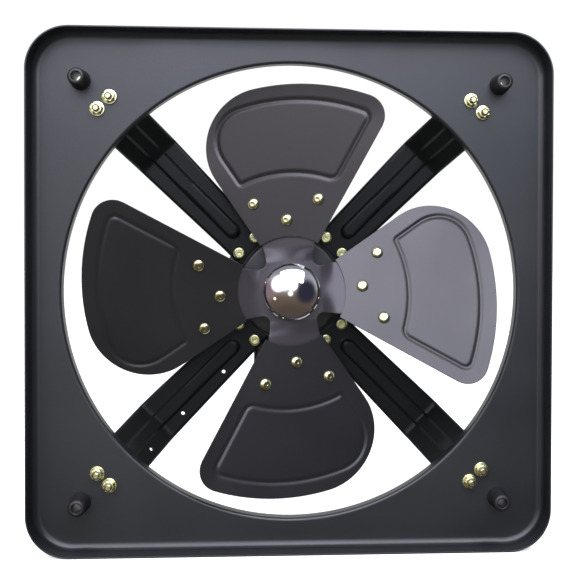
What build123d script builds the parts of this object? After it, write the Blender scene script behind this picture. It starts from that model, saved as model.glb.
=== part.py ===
from build123d import *
import os
from math import asin, cos, degrees, radians, sin, sqrt

# Exhaust hood fan: a pressed square plate with a round opening, four pressed arms that carry a
# motor behind it, and a riveted four-blade impeller on the motor shaft.
# Millimetres. +X right, +Z up, -Y is the front (the side with the rim). The origin is on the
# fan axis at the front face of the plate.

# ---------------------------------------------------------------- driving sizes
# impeller
impeller_r = 150.0           # blade tip circle
rest_angle = 3.9             # turn of the impeller at rest, counter-clockwise from the front
blade_pitch = 20.0           # tilt of the blades, the counter-clockwise side lies deeper
blade_mid_y = 10.0           # depth of the blade sheet on the blade's own axis
blade_sheet = 1.2
blade_root_r = 39.5
blade_straight_angle = 32.0  # side with the small corner, clockwise of the blade axis
blade_lobe_angle = 30.7      # side with the big corner
blade_corner_r = 16.0
blade_lobe_r = 43.0
rivet_pair_r = 69.4
rivet_pair_angle = 19.75
rivet_inner_r = 52.0
rivet_shank_r = 2.0
rivet_head_r = 4.4
rivet_head_h = 2.4
rivet_tail_r = 3.4
rivet_tail_h = 1.6

# spider and hub
spider_sheet = 2.0
spider_arm_half = 18.8       # half width of an arm where it leaves the middle
spider_tip_r = 78.0
spider_tip_half = 30.0
twist_start = 21.0           # flat up to here, outside the cap
hub_cap_r = 20.4
hub_cap_wall = 1.2
hub_cap_skirt = 13.0
hub_cap_dome = 9.0
hub_washer_t = 2.5
hub_nut_t = 8.0
hub_nut_flats = 17.0
hub_thread_r = 5.0
hub_thread_end = 2.5         # thread that shows past the nut
hub_bush_r = 14.0
hub_bush_back_gap = 4.0      # from the bush to the motor's front boss
set_screw_r = 2.5
flat_depth = 1.0             # flat on the shaft under the set screw

# plate
tip_gap = 13.6               # from the blade tips to the opening
plate_margin = 21.4          # from the opening to the outside of the rim
plate_sheet = 1.2
plate_corner_r = 30.0
rim_depth = 18.0
rim_bend_r = 6.0
collar_depth = 10.0
collar_bend_r = 2.0
mount_inset = 35.0           # from the rim to the mounting holes
mount_bore_r = 3.25          # takes an M6 screw
grommet_front_r = 5.9
grommet_base_r = 7.2
grommet_neck_r = 4.9
grommet_back_r = 7.2
grommet_back_t = 2.5

# arms
arm_sheet = 2.0
arm_offset = 43.0            # depth of the arm's front face at the motor
arm_foot_bend = 11.4         # from the opening to the bend at the foot
arm_slope_run = 33.0
arm_bend_r = 6.0
arm_bolt_reach = 25.9        # from the opening to the plate bolts
arm_foot_end = 12.0          # foot past the plate bolts
arm_outer_half = 17.6
arm_inner_half = 14.2
arm_flange = 8.0             # side flanges behind the web
arm_boss_gap = 1.6           # between the arm's end and the motor's front boss
arm_bead_half = 5.0
arm_bead_h = 2.5
arm_bead_start = 16.5        # from the arm's inner end
arm_bead_stop = 6.0          # before the slope
arm_bolt_spacing = 12.1
arm_tie_hole_r = 1.4
arm_tie_holes = ((80.5, 8.8), (124.5, 9.4))  # along and across the lower left arm

# fasteners
bolt_r = 2.5                 # M5
bolt_hole_r = 2.75
bolt_head_h = 3.5
bolt_nut_flats = 8.0
bolt_nut_t = 4.0
bolt_washer_r = 5.4
bolt_washer_t = 1.0
bolt_end = 3.0
screw_r = 2.0                # M4
screw_hole_r = 2.25
screw_head_r = 4.0
motor_screw_head_r = 4.4
screw_head_h = 2.8
screw_slot_half = 0.6        # cross recess
screw_slot_reach = 2.2

# motor
motor_r = 52.0
shell_wall = 1.5
shell_length = 70.0
shield_t = 4.0
boss_step = 12.8             # the front boss is this much smaller in radius than the motor
boss_height = 8.0
boss_wall = 3.0
boss_edge_r = 2.5
spigot_wall = 1.2
spigot_length = 4.0
motor_screw_inset = 4.6
motor_screw_spacing = 16.8
motor_screw_bite = 3.5
tie_bolt_inset = 5.7
core_length = 36.0
back_iron = 8.2
slot_depth = 9.0
slot_width = 6.5
slot_mouth = 1.6
slot_count = 12
tooth_tip = 2.5
air_gap = 0.5
winding_overhang = 9.0
end_ring_t = 4.0
end_ring_width = 9.5

# shaft and bearings
shaft_r = 6.0
shaft_shoulder = 2.0
shaft_hole_gap = 2.0
bearing_build = 10.0         # from the shaft to the bearing's outside
bearing_width = 10.0
ball_r = 2.95
ball_count = 8
race_gap = 0.08
ring_wall = 3.2
retainer_half = 1.0
retainer_width = 7.0
housing_wall = 3.5
wave_washer_t = 1.0
rear_wall = 3.0
rear_bearing_step = 4.0      # the rear bearing stands this far past the shield's face

# terminal box under the motor
box_width = 56.0
box_length = 52.0
box_drop = 32.0              # from the motor's side to the bottom of the box
box_wall = 2.0
box_saddle = 3.0
box_front_gap = 11.0         # from the front of the shell
gasket_t = 0.8
cover_t = 2.0
post_r = 3.5
post_inset = 5.0             # less than wall and post together, so the posts join the walls
cover_screw_r = 1.5          # M3
cover_screw_head_r = 2.8
cover_screw_head_h = 1.8
cover_screw_bite = 8.0
screw_tip_room = 2.0
lead_hole_r = 3.5
capacitor_r = 10.0
capacitor_length = 32.0
terminal_width = 14.0
terminal_height = 12.0
terminal_length = 32.0
terminal_screw_r = 2.0
terminal_screw_bite = 4.0
gland_bore_r = 4.25
gland_mouth_r = 5.0
gland_tube_r = 7.9
gland_tube_bore_r = 6.0
gland_hex_flats = 20.0
gland_hex_t = 4.0
gland_tube_out = 8.0
gland_locknut_t = 3.5
gland_cap_r = 10.5
gland_cap_wall = 3.7
gland_cap_round = 2.5
gland_floor = 3.0            # from the gland to the bottom of the box

# clearances
seat_gap = 0.3               # between curved faces that seat on each other
thread_gap = 0.05
ring_gap = 0.02              # bearing rings and rotor on their seats
hole_gap = 0.1

# ---------------------------------------------------------------- places worked out from these
opening_r = impeller_r + tip_gap
plate_half = opening_r + plate_margin
mount_half = plate_half - mount_inset
arm_bolt_radius = opening_r + arm_bolt_reach
foot_back = plate_sheet + arm_sheet

mount_face = arm_offset + arm_sheet          # the arms clamp on this face of the motor
boss_r = motor_r - boss_step
boss_front = mount_face - boss_height
shell_front = mount_face + shield_t
shell_back = shell_front + shell_length
shield_back = shell_back + shield_t
shell_bore_r = motor_r - shell_wall
core_r = shell_bore_r - seat_gap
motor_screw_radius = motor_r - motor_screw_inset
tie_bolt_radius = motor_r - tie_bolt_inset
slot_outer_r = core_r - back_iron
slot_inner_r = slot_outer_r - slot_depth
core_bore_r = slot_inner_r - tooth_tip
rotor_r = core_bore_r - air_gap
core_front = (shell_front + shell_back - core_length) / 2
core_back = core_front + core_length

bearing_r = shaft_r + bearing_build
ball_circle_r = shaft_r + bearing_build / 2
front_bearing_y = boss_front + boss_wall
rear_bearing_y = shield_back - bearing_width + rear_bearing_step
rear_seat_y = rear_bearing_y + bearing_width + wave_washer_t
shoulder_front = front_bearing_y + bearing_width
shoulder_back = rear_bearing_y

pitch = radians(blade_pitch)
spider_mid_y = blade_mid_y + (blade_sheet + spider_sheet) / 2 / cos(pitch)
spider_front = spider_mid_y - spider_sheet / 2
spider_back = spider_mid_y + spider_sheet / 2
twist_end = blade_root_r * cos(radians(blade_straight_angle)) - hole_gap  # pitched from here, under the root
washer_front = spider_front - hub_washer_t
nut_front = washer_front - hub_nut_t
shaft_front = nut_front - hub_thread_end
shaft_back = rear_bearing_y + bearing_width
bush_back = boss_front - hub_bush_back_gap

box_top = -sqrt(motor_r ** 2 - (box_width / 2) ** 2)
box_bottom = -motor_r - box_drop
box_front = shell_front + box_front_gap
box_back = box_front + box_length
box_mid_y = (box_front + box_back) / 2
gland_z = box_bottom + gland_cap_r + gland_floor

diagonals = {"upper_right": 45.0, "upper_left": 135.0, "lower_left": 225.0, "lower_right": 315.0}
blade_names = {"right": 0.0, "top": 90.0, "left": 180.0, "bottom": 270.0}


# ---------------------------------------------------------------- helpers
def cylinder_y(radius, front, back, x=0.0, z=0.0):
    """A cylinder along Y between two depths."""
    along = (Align.CENTER, Align.CENTER, Align.MIN)
    return Pos(x, front, z) * Rot(X=-90) * Cylinder(radius, back - front, align=along)


def ring_y(inner, outer, front, back, x=0.0, z=0.0):
    """A tube along Y between two depths."""
    return cylinder_y(outer, front, back, x, z) - cylinder_y(inner, front - 1, back + 1, x, z)


def cylinder_z(radius, low, high, x=0.0, y=0.0):
    """An upright cylinder."""
    along = (Align.CENTER, Align.CENTER, Align.MIN)
    return Pos(x, y, low) * Cylinder(radius, high - low, align=along)


def block(x0, x1, y0, y1, z0, z1):
    """A box between two corners."""
    middle = Pos((x0 + x1) / 2, (y0 + y1) / 2, (z0 + z1) / 2)
    return middle * Box(x1 - x0, y1 - y0, z1 - z0)


def prism_y(sketch, front, back):
    """A sketch whose X and Y are the object's X and Z, extruded between two depths."""
    turned = Plane(origin=(0, back, 0), x_dir=(1, 0, 0), z_dir=(0, -1, 0))
    return extrude(turned * sketch, amount=back - front)


def square_slab(half, corner, front, back):
    """A rounded square slab across Y."""
    return prism_y(RectangleRounded(2 * half, 2 * half, corner), front, back)


def hexagon_y(flats, front, back, x=0.0, z=0.0):
    """A hexagonal prism along Y."""
    outline = RegularPolygon(flats / 2, 6, major_radius=False)
    return Pos(x, 0, z) * prism_y(outline, front, back)


def back_edges(solid):
    """The edges that lie furthest from the front."""
    return solid.edges().group_by(Axis.Y)[-1]


def turned(angle, solid):
    """Turns a solid about the fan axis, counter-clockwise seen from the front."""
    return Rot(Y=-angle) * solid


def polar(radius, angle):
    """A sketch point from a radius and an angle in degrees."""
    return (radius * cos(radians(angle)), radius * sin(radians(angle)))


def along_across(u, w, angle):
    """X and Z of a point u along and w across an arm that points at the angle."""
    a = radians(angle)
    return (u * cos(a) - w * sin(a), u * sin(a) + w * cos(a))


# ---------------------------------------------------------------- plate and mounts
def frame_plate():
    """Tray with its rim to the front and a collar round the opening to the back."""
    outer = square_slab(plate_half, plate_corner_r, -rim_depth, plate_sheet)
    outer = fillet(back_edges(outer), rim_bend_r)
    inner_half = plate_half - plate_sheet
    inner = square_slab(inner_half, plate_corner_r - plate_sheet, -rim_depth - 1, 0)
    inner = fillet(back_edges(inner), rim_bend_r - plate_sheet)
    bend_r = opening_r + collar_bend_r
    plate = outer - inner - cylinder_y(bend_r, -1, plate_sheet + 1)
    inside_bend = collar_bend_r - plate_sheet
    centre = (bend_r, collar_bend_r)
    outline = [
        CenterArc(centre, collar_bend_r, 180, 90),
        Line((bend_r, 0), (bend_r, plate_sheet)),
        CenterArc(centre, inside_bend, 180, 90),
        Line((opening_r + plate_sheet, collar_bend_r), (opening_r + plate_sheet, collar_depth)),
        Line((opening_r + plate_sheet, collar_depth), (opening_r, collar_depth)),
        Line((opening_r, collar_depth), (opening_r, collar_bend_r)),
    ]
    plate += revolve(make_face(outline), Axis.Y)
    for x in (-mount_half, mount_half):
        for z in (-mount_half, mount_half):
            plate -= cylinder_y(grommet_neck_r + hole_gap, -1, plate_sheet + 1, x, z)
    for x, z in plate_bolt_places():
        plate -= cylinder_y(bolt_hole_r, -1, plate_sheet + 1, x, z)
    return plate


def plate_bolt_places():
    """Two bolts across each arm's foot."""
    half = arm_bolt_spacing / 2
    return [along_across(arm_bolt_radius, w, a) for a in diagonals.values() for w in (-half, half)]


def mount_grommets():
    """Rubber stand-offs in the corners, as tall as the rim, each with a bore for a screw."""
    outline = Polyline(
        (mount_bore_r, -rim_depth),
        (grommet_front_r, -rim_depth),
        (grommet_base_r, 0),
        (grommet_neck_r, 0),
        (grommet_neck_r, plate_sheet),
        (grommet_back_r, plate_sheet),
        (grommet_back_r, plate_sheet + grommet_back_t),
        (mount_bore_r, plate_sheet + grommet_back_t),
        close=True,
    )
    grommet = revolve(make_face(outline), Axis.Y)
    places = [(x, z) for x in (-mount_half, mount_half) for z in (-mount_half, mount_half)]
    return Compound([Pos(x, 0, z) * grommet for x, z in places])


def arm_bolts():
    """Hexagon bolts from behind, with their ends standing past the nuts in front."""
    tip = -(bolt_washer_t + bolt_nut_t + bolt_end)
    bolts = []
    for x, z in plate_bolt_places():
        head = hexagon_y(bolt_nut_flats, foot_back, foot_back + bolt_head_h, x, z)
        bolts.append(head + cylinder_y(bolt_r, tip, foot_back + 1, x, z))
    return Compound(bolts)


def arm_washers():
    """Flat washers between the plate and the nuts."""
    places = plate_bolt_places()
    return Compound([ring_y(bolt_hole_r, bolt_washer_r, -bolt_washer_t, 0, x, z) for x, z in places])


def arm_nuts():
    """Hexagon nuts on the front of the plate."""
    nuts = []
    for x, z in plate_bolt_places():
        nut = hexagon_y(bolt_nut_flats, -bolt_washer_t - bolt_nut_t, -bolt_washer_t, x, z)
        bore = cylinder_y(bolt_r + thread_gap, -bolt_washer_t - bolt_nut_t - 1, 0, x, z)
        nuts.append(nut - bore)
    return Compound(nuts)


# ---------------------------------------------------------------- arms
def arm_taper(inner, outer, inset=0.0):
    """Outline of an arm along X, from one radius to another, with its sides inset."""
    taper_start = boss_r + arm_boss_gap
    taper_end = opening_r + arm_foot_bend - arm_slope_run

    def half_at(u):
        share = min(1.0, (u - taper_start) / (taper_end - taper_start))
        return arm_inner_half + (arm_outer_half - arm_inner_half) * share - inset

    stations = sorted({inner, outer, min(max(taper_end, inner), outer)})
    side = [(u, half_at(u)) for u in stations]
    return make_face(Polyline(*side, *[(u, -w) for u, w in reversed(side)], close=True))


def motor_arm(tie_holes=()):
    """Pressed arm along X: foot on the back of the plate, slope to the back, web to the motor."""
    web_mid = arm_offset + arm_sheet / 2
    foot_mid = plate_sheet + arm_sheet / 2
    bend_out = opening_r + arm_foot_bend
    bend_in = bend_out - arm_slope_run
    tip = arm_bolt_radius + arm_foot_end
    inner = boss_r - 5
    path = FilletPolyline(
        (tip, foot_mid), (bend_out, foot_mid), (bend_in, web_mid), (inner, web_mid), radius=arm_bend_r
    )
    band = extrude(trace(path, line_width=arm_sheet), amount=2 * arm_outer_half, both=True)
    strip = band & prism_y(arm_taper(inner, tip), -1, web_mid + arm_sheet)
    flange_in = boss_r + arm_boss_gap + arm_bead_start
    flange_out = bend_in - arm_bend_r
    channel = prism_y(arm_taper(flange_in, flange_out), arm_offset, mount_face + arm_flange)
    inside = arm_taper(flange_in - 1, flange_out + 1, arm_sheet)
    hollow = prism_y(inside, mount_face, mount_face + arm_flange + 1)
    arm = strip + (channel - hollow)
    bead_in = boss_r + arm_boss_gap + arm_bead_start
    bead_out = bend_in - arm_bead_stop
    bead_mid = (bead_in + bead_out) / 2
    bead_run = bead_out - bead_in
    raised = Pos(bead_mid, 0) * SlotOverall(bead_run, 2 * arm_bead_half)
    sunk = Pos(bead_mid, 0) * SlotOverall(bead_run - 2 * arm_sheet, 2 * (arm_bead_half - arm_sheet))
    arm += prism_y(raised, arm_offset - arm_bead_h, arm_offset + arm_sheet / 2)
    arm -= prism_y(sunk, arm_offset - arm_bead_h + arm_sheet, mount_face + 1)
    arm -= cylinder_y(boss_r + arm_boss_gap, 0, mount_face + arm_flange + 1)
    for w in (-arm_bolt_spacing / 2, arm_bolt_spacing / 2):
        arm -= cylinder_y(bolt_hole_r, 0, foot_back + 1, arm_bolt_radius, w)
    for w in (-motor_screw_spacing / 2, motor_screw_spacing / 2):
        u = sqrt(motor_screw_radius ** 2 - w ** 2)
        arm -= cylinder_y(screw_hole_r, arm_offset - 1, mount_face + 1, u, w)
    for u, w in tie_holes:
        arm -= cylinder_y(arm_tie_hole_r, arm_offset - 1, mount_face + 1, u, w)
    return arm


def motor_screw_places():
    """Two screws across the inner end of each arm."""
    half = motor_screw_spacing / 2
    reach = sqrt(motor_screw_radius ** 2 - half ** 2)
    return [along_across(reach, w, a) for a in diagonals.values() for w in (-half, half)]


def motor_screws():
    """Pan-head screws through the arms into the front shield."""
    screws = []
    for x, z in motor_screw_places():
        head = cylinder_y(motor_screw_head_r, arm_offset - screw_head_h, arm_offset, x, z)
        head = fillet(head.edges().group_by(Axis.Y)[0], screw_head_h / 2)
        half = screw_slot_half
        reach = screw_slot_reach
        slot_front = arm_offset - screw_head_h - 1
        slot = block(-half, half, slot_front, arm_offset - screw_head_h / 2, -reach, reach)
        cross = Pos(x, 0, z) * (slot + Rot(Y=90) * slot)
        shank = cylinder_y(screw_r, arm_offset - 0.5, mount_face + motor_screw_bite, x, z)
        screws.append(head - cross + shank)
    return Compound(screws)


# ---------------------------------------------------------------- motor, standing pieces
def motor_front_shield():
    """Cast shield: flange for the arms, round boss to the front, bearing housing inside."""
    shield = ring_y(shaft_r + shaft_hole_gap, boss_r, boss_front, front_bearing_y)
    shield += ring_y(boss_r - boss_wall, boss_r, boss_front, shell_front)
    shield += ring_y(boss_r - boss_wall, motor_r, mount_face, shell_front)
    spigot_r = shell_bore_r - seat_gap
    shield += ring_y(spigot_r - spigot_wall, spigot_r, shell_front - 1, shell_front + spigot_length)
    housing_r = bearing_r + ring_gap
    shield += ring_y(housing_r, housing_r + housing_wall, front_bearing_y - 1, shoulder_front + 1)
    rim = [e for e in shield.edges().filter_by(GeomType.CIRCLE)
           if abs(e.radius - boss_r) < 0.01 and abs(e.center().Y - boss_front) < 0.01]
    shield = fillet(rim, boss_edge_r)
    for x, z in motor_screw_places():
        bottom = mount_face + motor_screw_bite + hole_gap
        shield -= cylinder_y(screw_r + thread_gap, mount_face - 1, bottom, x, z)
    for x, z in tie_bolt_places():
        shield -= cylinder_y(screw_r + thread_gap, mount_face + 1, shell_front + 1, x, z)
    return shield


def tie_bolt_places():
    """Four tie bolts between the arms."""
    return [polar(tie_bolt_radius, angle) for angle in (0, 90, 180, 270)]


def motor_rear_shield():
    """Rear shield with the second bearing housing, closed at the back."""
    housing_r = bearing_r + ring_gap
    boss_out = housing_r + housing_wall
    end = rear_seat_y + rear_wall
    shield = ring_y(boss_out - 1, motor_r, shell_back, shield_back)
    shield += ring_y(housing_r, boss_out, rear_bearing_y, end)
    shield += cylinder_y(boss_out, rear_seat_y, end)
    spigot_r = shell_bore_r - seat_gap
    shield += ring_y(spigot_r - spigot_wall, spigot_r, shell_back - spigot_length, shell_back + 1)
    for x, z in tie_bolt_places():
        shield -= cylinder_y(screw_hole_r, shell_back - 1, shield_back + 1, x, z)
    return shield


def motor_shell():
    """Rolled steel shell round the stator, with holes for the box screws and the leads."""
    shell = ring_y(shell_bore_r, motor_r, shell_front, shell_back)
    for y in box_screw_places():
        shell -= cylinder_z(screw_r + thread_gap, -motor_r - 1, -shell_bore_r + 2, 0, y)
    return shell - cylinder_z(lead_hole_r, -motor_r - 1, -shell_bore_r + 2, 0, lead_hole_y())


def stator_core():
    """Lamination stack with slots open to the rotor and holes for the tie bolts."""
    core = ring_y(core_bore_r, core_r, core_front, core_back)
    for k in range(slot_count):
        half = slot_width / 2
        pocket = block(slot_inner_r, slot_outer_r, core_front - 1, core_back + 1, -half, half)
        half = slot_mouth / 2
        mouth = block(core_bore_r - 1, slot_inner_r + 1, core_front - 1, core_back + 1, -half, half)
        core -= turned(slot_angle(k), pocket + mouth)
    for x, z in tie_bolt_places():
        core -= cylinder_y(screw_hole_r, core_front - 1, core_back + 1, x, z)
    return core


def slot_angle(k):
    """Slots stand half a step away from the tie bolts."""
    step = 360 / slot_count
    return (k + 0.5) * step


def stator_winding():
    """Coils: a bar in each slot and a rounded ring of end turns on both sides."""
    inner = slot_inner_r + seat_gap
    outer = slot_outer_r - seat_gap
    half = slot_width / 2 - seat_gap
    front = core_front - winding_overhang
    back = core_back + winding_overhang
    coil = ring_y(inner, outer, front, core_front - seat_gap)
    coil += ring_y(inner, outer, core_back + seat_gap, back)
    ends = coil.edges().filter_by(GeomType.CIRCLE).group_by(Axis.Y)
    coil = fillet(ends[0] + ends[-1], (outer - inner) / 3)
    for k in range(slot_count):
        bar = block(inner + 0.3, outer - 0.3, core_front - 1, core_back + 1, -half, half)
        coil += turned(slot_angle(k), bar)
    return coil


def tie_bolts():
    """Long bolts from the rear shield through the core into the front shield."""
    bolts = []
    for x, z in tie_bolt_places():
        head = hexagon_y(2 * screw_head_r * cos(radians(30)), shield_back, shield_back + screw_head_h, x, z)
        bolts.append(head + cylinder_y(screw_r, mount_face + 1 + hole_gap, shield_back + 1, x, z))
    return Compound(bolts)


# ---------------------------------------------------------------- bearings
def race_torus(y):
    """The ring-shaped space that the balls run in."""
    return Pos(0, y, 0) * Rot(X=-90) * Torus(ball_circle_r, ball_r + race_gap)


def outer_ring(front):
    """Outer bearing ring with its groove."""
    ring = ring_y(bearing_r - ring_wall, bearing_r, front, front + bearing_width)
    return ring - race_torus(front + bearing_width / 2)


def inner_ring(front):
    """Inner bearing ring with its groove."""
    bore = shaft_r + ring_gap
    ring = ring_y(bore, shaft_r + ring_wall, front, front + bearing_width)
    return ring - race_torus(front + bearing_width / 2)


def ball_places():
    """Centres of the balls in one bearing."""
    return [polar(ball_circle_r, 360 / ball_count * k) for k in range(ball_count)]


def bearing_balls(front):
    """The balls of one bearing."""
    middle = front + bearing_width / 2
    return Compound([Pos(x, middle, z) * Sphere(ball_r) for x, z in ball_places()])


def bearing_retainer(front):
    """The cage that spaces the balls."""
    middle = front + bearing_width / 2
    half = retainer_width / 2
    cage = ring_y(ball_circle_r - retainer_half, ball_circle_r + retainer_half, middle - half, middle + half)
    for k in range(ball_count):
        pocket = Pos(0, middle, 0) * Rot(Y=90) * cylinder_z(ball_r + hole_gap, shaft_r, bearing_r)
        cage -= turned(360 / ball_count * k, pocket)
    return cage


def bearing_wave_washer():
    """Spring washer that loads the rear bearing."""
    outer = bearing_r - hole_gap
    return ring_y(outer - ring_wall, outer, rear_bearing_y + bearing_width, rear_seat_y)


# ---------------------------------------------------------------- shaft and rotor
def motor_shaft():
    """Stepped shaft: threaded front end, bearing seats, and a thicker middle for the rotor."""
    shaft = cylinder_y(hub_thread_r, shaft_front, spider_back)
    shaft += cylinder_y(shaft_r, spider_back, shaft_back)
    shaft += cylinder_y(shaft_r + shaft_shoulder, shoulder_front, shoulder_back)
    flat = block(-shaft_r, shaft_r, spider_back + 2, bush_back + 1, shaft_r - flat_depth, shaft_r + 1)
    return shaft - flat


def rotor_core():
    """Rotor laminations on the thick part of the shaft."""
    return ring_y(shaft_r + shaft_shoulder + ring_gap, rotor_r, core_front, core_back)


def rotor_end_rings():
    """Cast rings at both ends of the rotor cage."""
    outer = rotor_r - air_gap
    inner = outer - end_ring_width
    rings = [ring_y(inner, outer, core_front - end_ring_t, core_front)]
    rings.append(ring_y(inner, outer, core_back, core_back + end_ring_t))
    return Compound(rings)


# ---------------------------------------------------------------- impeller
def on_blade(angle, solid):
    """Puts a solid from the blade's own frame, sheet across Y, onto the impeller."""
    return turned(angle + rest_angle, Pos(0, blade_mid_y, 0) * Rot(X=-blade_pitch) * solid)


def blade_outline():
    """A sector whose tip has one small and one large rounded corner."""
    def corner(side, radius):
        # centre angle and tangent points of a round between a radial side and the tip circle
        reach = impeller_r - radius
        swing = degrees(asin(radius / reach))
        centre = side - swing if side > 0 else side + swing
        return centre, reach * cos(radians(swing))

    lobe_centre, lobe_side = corner(blade_lobe_angle, blade_lobe_r)
    small_centre, small_side = corner(-blade_straight_angle, blade_corner_r)
    lobe_c = polar(impeller_r - blade_lobe_r, lobe_centre)
    small_c = polar(impeller_r - blade_corner_r, small_centre)
    lobe_turn = blade_lobe_angle + 90 - lobe_centre
    small_turn = blade_straight_angle + 90 + small_centre
    return make_face([
        CenterArc((0, 0), impeller_r, small_centre, lobe_centre - small_centre),
        CenterArc(lobe_c, blade_lobe_r, lobe_centre, lobe_turn),
        Line(polar(lobe_side, blade_lobe_angle), polar(blade_root_r, blade_lobe_angle)),
        CenterArc((0, 0), blade_root_r, -blade_straight_angle, blade_straight_angle + blade_lobe_angle),
        Line(polar(blade_root_r, -blade_straight_angle), polar(small_side, -blade_straight_angle)),
        CenterArc(small_c, blade_corner_r, small_centre - small_turn, small_turn),
    ])


def rivet_spots():
    """Along and across places of the three rivets in the blade's own frame."""
    flat = cos(pitch)
    spots = [(rivet_inner_r, 0.0)]
    for side in (-rivet_pair_angle, rivet_pair_angle):
        u, w = polar(rivet_pair_r, side)
        spots.append((u, w / flat))
    return spots


def blade(angle):
    """One stamped blade: a pitched sheet cut to the outline, with rivet holes."""
    reach = 2 * impeller_r
    sheet = on_blade(angle, Box(reach, blade_sheet, reach))
    depth = impeller_r
    cutter = turned(angle + rest_angle, prism_y(blade_outline(), -depth, depth))
    piece = sheet & cutter
    for u, w in rivet_spots():
        hole = cylinder_y(rivet_shank_r + thread_gap, -blade_sheet, blade_sheet, u, w)
        piece -= on_blade(angle, hole)
    return piece


def dome_arc(radius, height, y):
    """Front half of a round dome's outline, from its crown on the axis to its rim."""
    round_r = (radius ** 2 + height ** 2) / (2 * height)
    swing = degrees(asin(radius / round_r)) if height <= radius else 180 - degrees(asin(radius / round_r))
    return CenterArc((0, y - height + round_r), round_r, 270, swing)


def blade_rivets():
    """Three rivets through each blade and its spider arm."""
    front = -blade_sheet / 2
    back = blade_sheet / 2 + spider_sheet
    dome = revolve(
        make_face([
            dome_arc(rivet_head_r, rivet_head_h, front),
            Line((0, front - rivet_head_h), (0, front)),
            Line((0, front), (rivet_head_r, front)),
        ]),
        Axis.Y,
    )
    rivets = []
    for angle in blade_names.values():
        for u, w in rivet_spots():
            shank = cylinder_y(rivet_shank_r, front - 0.5, back + 0.5)
            tail = cylinder_y(rivet_tail_r, back, back + rivet_tail_h)
            tail = fillet(back_edges(tail), rivet_tail_h / 2)
            rivets.append(on_blade(angle, Pos(u, 0, w) * (dome + shank + tail)))
    return Compound(rivets)


def spider():
    """Stamped cross: a flat middle and four arms that twist to the blades' pitch."""
    wide = 2 * spider_arm_half
    cross = block(-twist_start, twist_start, spider_front, spider_back, -spider_arm_half, spider_arm_half)
    middle = cross + Rot(Y=90) * cross + cylinder_y(sqrt(2) * spider_arm_half, spider_front, spider_back)
    plate = turned(rest_angle, middle)
    arm_mid = (blade_sheet + spider_sheet) / 2
    for angle in blade_names.values():
        flat = Plane(origin=(twist_start, spider_mid_y, 0), x_dir=(0, 0, 1), z_dir=(1, 0, 0))
        start = flat * Rectangle(wide, spider_sheet)
        steep = Plane(
            origin=(twist_end, spider_mid_y, 0), x_dir=(0, sin(pitch), cos(pitch)), z_dir=(1, 0, 0)
        )
        finish = steep * Rectangle(wide / cos(pitch), spider_sheet)
        plate += turned(angle + rest_angle, loft([start, finish], ruled=True))
        pad = on_blade(angle, Pos(0, arm_mid, 0) * Box(4 * spider_tip_r, spider_sheet, 4 * spider_tip_r))
        outline = make_face(Polyline(
            (twist_end, -spider_arm_half),
            (rivet_pair_r - 8, -spider_tip_half),
            (spider_tip_r, -spider_tip_half),
            (spider_tip_r, spider_tip_half),
            (rivet_pair_r - 8, spider_tip_half),
            (twist_end, spider_arm_half),
            close=True,
        ))
        cutter = turned(angle + rest_angle, prism_y(outline, -spider_tip_r, spider_tip_r))
        plate += pad & cutter
        for u, w in rivet_spots():
            hole = cylinder_y(rivet_shank_r + thread_gap, -blade_sheet, 2 * spider_sheet + blade_sheet, u, w)
            plate -= on_blade(angle, hole)
    return plate - cylinder_y(hub_thread_r + hole_gap, spider_front - 1, spider_back + 1)


def hub_bush():
    """Turned bush behind the spider, clamped to the shaft's flat by a set screw."""
    bush = ring_y(shaft_r + ring_gap, hub_bush_r, spider_back, bush_back)
    hole = cylinder_z(set_screw_r + thread_gap, 0, hub_bush_r + 1, 0, set_screw_y())
    return bush - hole


def set_screw_y():
    """Depth of the set screw, midway along the bush."""
    return (spider_back + bush_back) / 2


def hub_set_screw():
    """Set screw on the shaft's flat."""
    return cylinder_z(set_screw_r, shaft_r - flat_depth, hub_bush_r - 0.5, 0, set_screw_y())


def hub_washer():
    """Thick washer under the nut; the cap's skirt fits round it."""
    outer = hub_cap_r - hub_cap_wall - seat_gap
    return ring_y(hub_thread_r + hole_gap, outer, washer_front, spider_front)


def hub_nut():
    """Nut on the end of the shaft."""
    nut = hexagon_y(hub_nut_flats, nut_front, washer_front)
    return nut - cylinder_y(hub_thread_r + thread_gap, nut_front - 1, washer_front + 1)


def hub_cap():
    """Domed cap over the nut: a short skirt and a round crown."""
    skirt_front = spider_front - hub_cap_skirt
    inner_r = hub_cap_r - hub_cap_wall
    inner_dome = hub_cap_dome - hub_cap_wall
    outline = [
        dome_arc(hub_cap_r, hub_cap_dome, skirt_front),
        Line((hub_cap_r, skirt_front), (hub_cap_r, spider_front)),
        Line((hub_cap_r, spider_front), (inner_r, spider_front)),
        Line((inner_r, spider_front), (inner_r, skirt_front)),
        dome_arc(inner_r, inner_dome, skirt_front),
        Line((0, skirt_front - inner_dome), (0, skirt_front - hub_cap_dome)),
    ]
    return revolve(make_face(outline), Axis.Y)


# ---------------------------------------------------------------- terminal box
def lead_hole_y():
    """The leads pass behind the core."""
    return core_back + 5


def box_screw_places():
    """Depths of the two screws that hold the box on the shell."""
    return (core_front + 5, core_back - 8)


def box_post_places():
    """Corners of the box that take the cover screws."""
    reach = box_width / 2 - post_inset
    depths = (box_front + post_inset, box_back - post_inset)
    return [(x, y) for x in (-reach, reach) for y in depths]


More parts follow.
